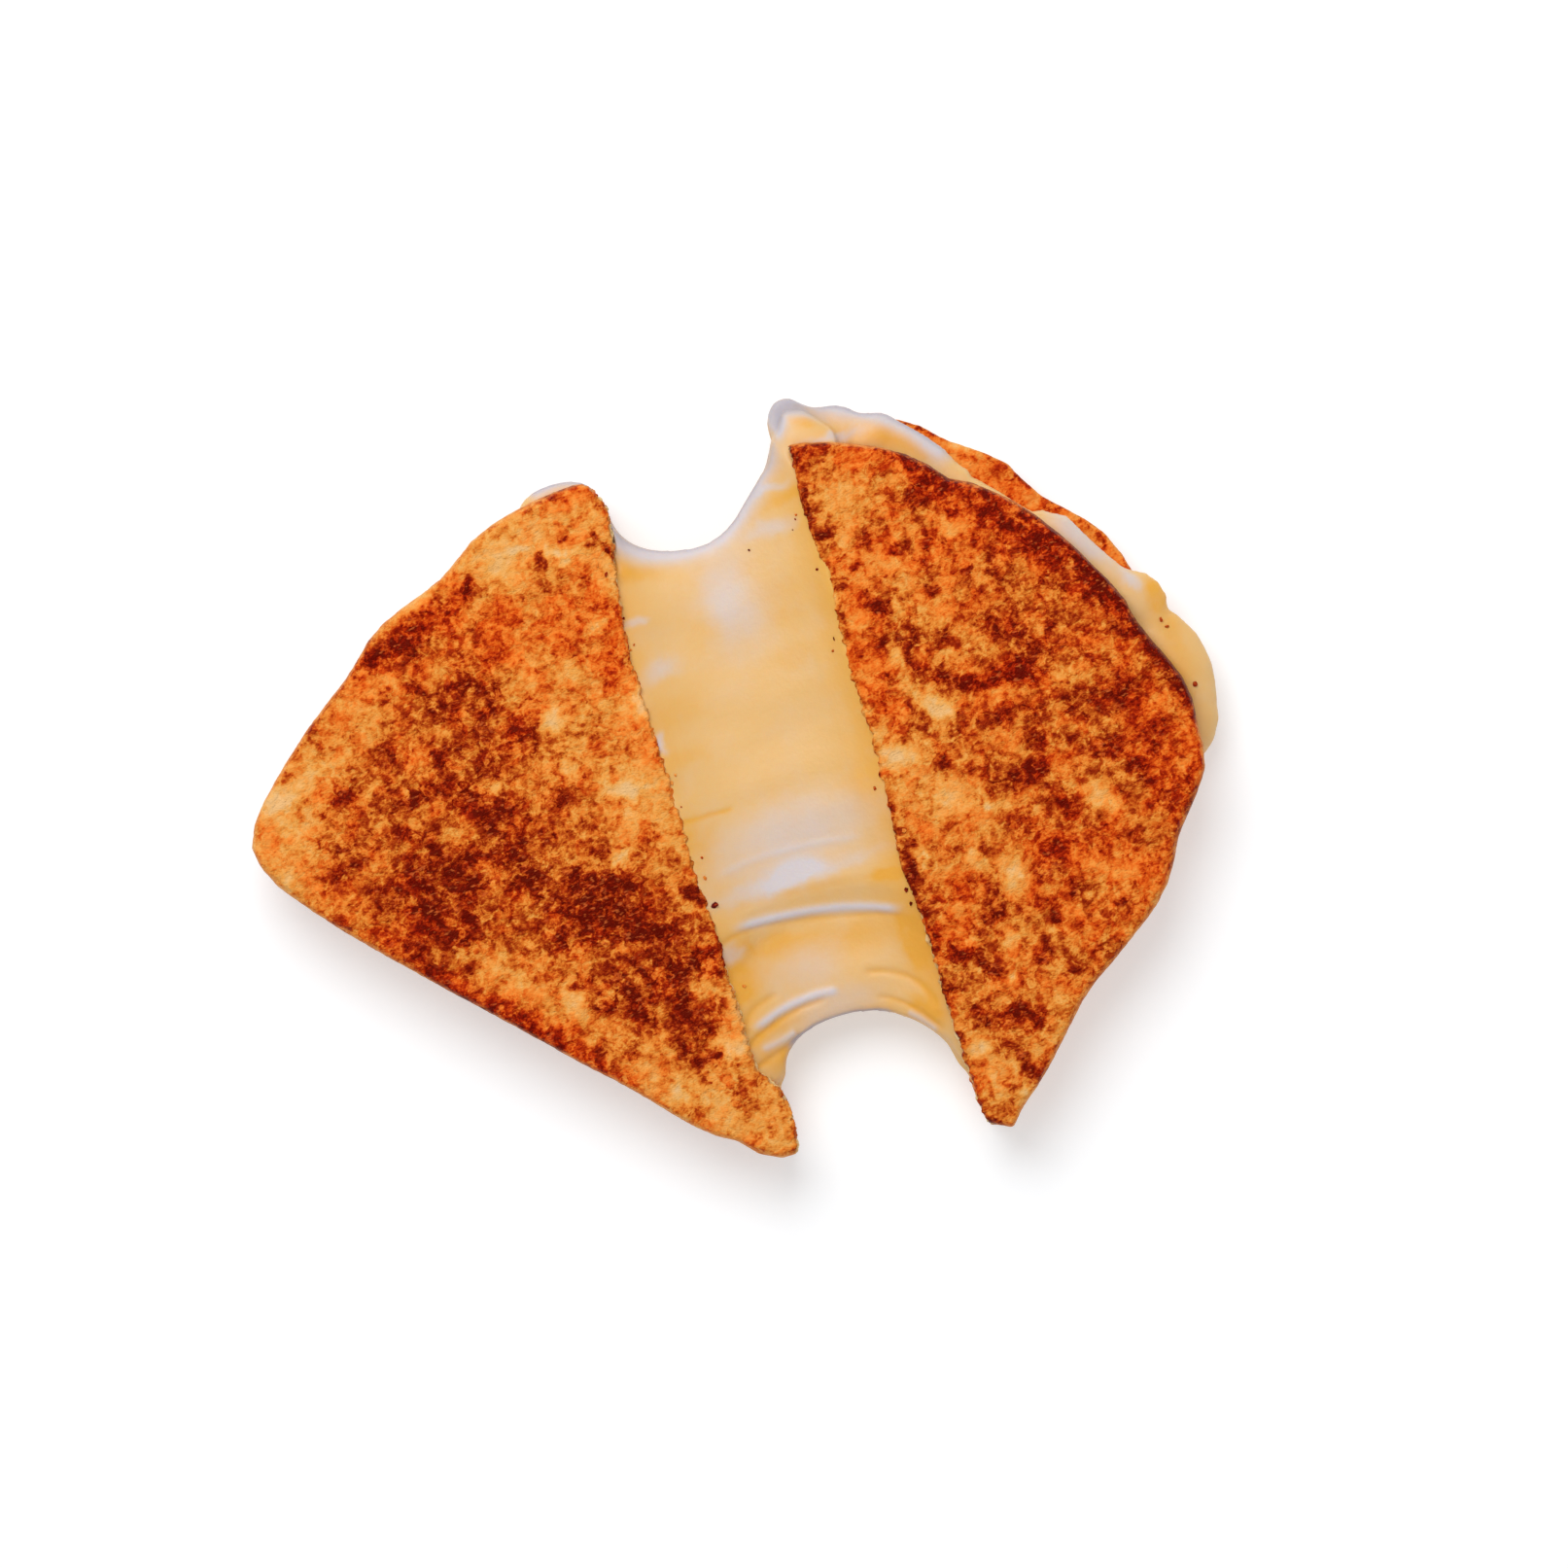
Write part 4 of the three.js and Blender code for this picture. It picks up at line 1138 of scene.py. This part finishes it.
def make_floor(studio):
    """A wide floor at the height of the table."""
    shape = bmesh.new()
    bmesh.ops.create_grid(shape, x_segments=8, y_segments=8, size=FLOOR_SIZE / 2)
    floor = new_piece("floor", shape)
    floor.data.materials.append(floor_material(studio.floor_colour))


def make_lights(scene, studio):
    """Even light from all round, and a large lamp that leaves a soft shadow."""
    world = bpy.data.worlds.new("Soft Studio")
    world.use_nodes = True
    sky = world.node_tree.nodes["Background"]
    sky.inputs["Color"].default_value = (1, 1, 1, 1)
    sky.inputs["Strength"].default_value = studio.sky_strength
    scene.world = world
    lamp = bpy.data.lights.new("key", "AREA")
    lamp.shape = "DISK"
    lamp.size = LAMP_SIZE
    lamp.energy = studio.key_energy
    key = bpy.data.objects.new("key", lamp)
    upwards = Vector((math.sin(-VIEW_TURN), math.cos(VIEW_TURN), 0))
    leftwards = Vector((-upwards.y, upwards.x, 0))
    middle = Vector((*VIEW_MIDDLE, 0)) * MM
    up, left, over = LAMP_PLACE
    key.location = middle + upwards * up + leftwards * left + Vector((0, 0, over))
    key.rotation_euler = (middle - key.location).to_track_quat("-Z", "Y").to_euler()
    scene.collection.objects.link(key)
    scene.view_settings.view_transform = "Standard"


def make_camera(scene, studio):
    """A camera that looks straight down."""
    lens = bpy.data.cameras.new("camera")
    lens.sensor_width = SENSOR
    lens.lens = SENSOR * studio.camera_height / studio.view_width
    lens.clip_start, lens.clip_end = 0.1, 20
    camera = bpy.data.objects.new("camera", lens)
    camera.location = Vector((*VIEW_MIDDLE, TOAST_FACE)) * MM + Vector((0, 0, studio.camera_height))
    camera.rotation_euler = (0, 0, VIEW_TURN)
    scene.collection.objects.link(camera)
    scene.camera = camera


# ---- Panel and registration ----

MAKERS = (
    SANDWICH_OT_slices,
    SANDWICH_OT_melted_cheese,
    SANDWICH_OT_crumbs,
    SANDWICH_OT_stage,
)
SETTINGS = {
    "sandwich_toast": ToastSettings,
    "sandwich_cheese": CheeseSettings,
    "sandwich_crumbs": CrumbSettings,
    "sandwich_studio": StudioSettings,
}


class SANDWICH_PT_pieces(bpy.types.Panel):
    """Lists the settings and the steps of the sandwich"""

    bl_label = "Grilled Cheese Sandwich"
    bl_space_type = "VIEW_3D"
    bl_region_type = "UI"
    bl_category = "Sandwich"

    def draw(self, context):
        layout = self.layout
        for title, group in SETTINGS.items():
            box = layout.box()
            box.label(text=group.__doc__)
            for name in group.__annotations__:
                box.prop(getattr(context.scene, title), name)
        for maker in MAKERS:
            layout.operator(maker.bl_idname)


CLASSES = (*SETTINGS.values(), *MAKERS, SANDWICH_PT_pieces)


def register():
    for made in CLASSES:
        bpy.utils.register_class(made)
    for title, group in SETTINGS.items():
        setattr(bpy.types.Scene, title, PointerProperty(type=group))


def unregister():
    for title in SETTINGS:
        delattr(bpy.types.Scene, title)
    for made in reversed(CLASSES):
        bpy.utils.unregister_class(made)


def main():
    register()
    bpy.ops.sandwich.slices()
    bpy.ops.sandwich.melted_cheese()
    bpy.ops.sandwich.crumbs()
    bpy.ops.sandwich.stage()


if __name__ == "__main__":
    main()
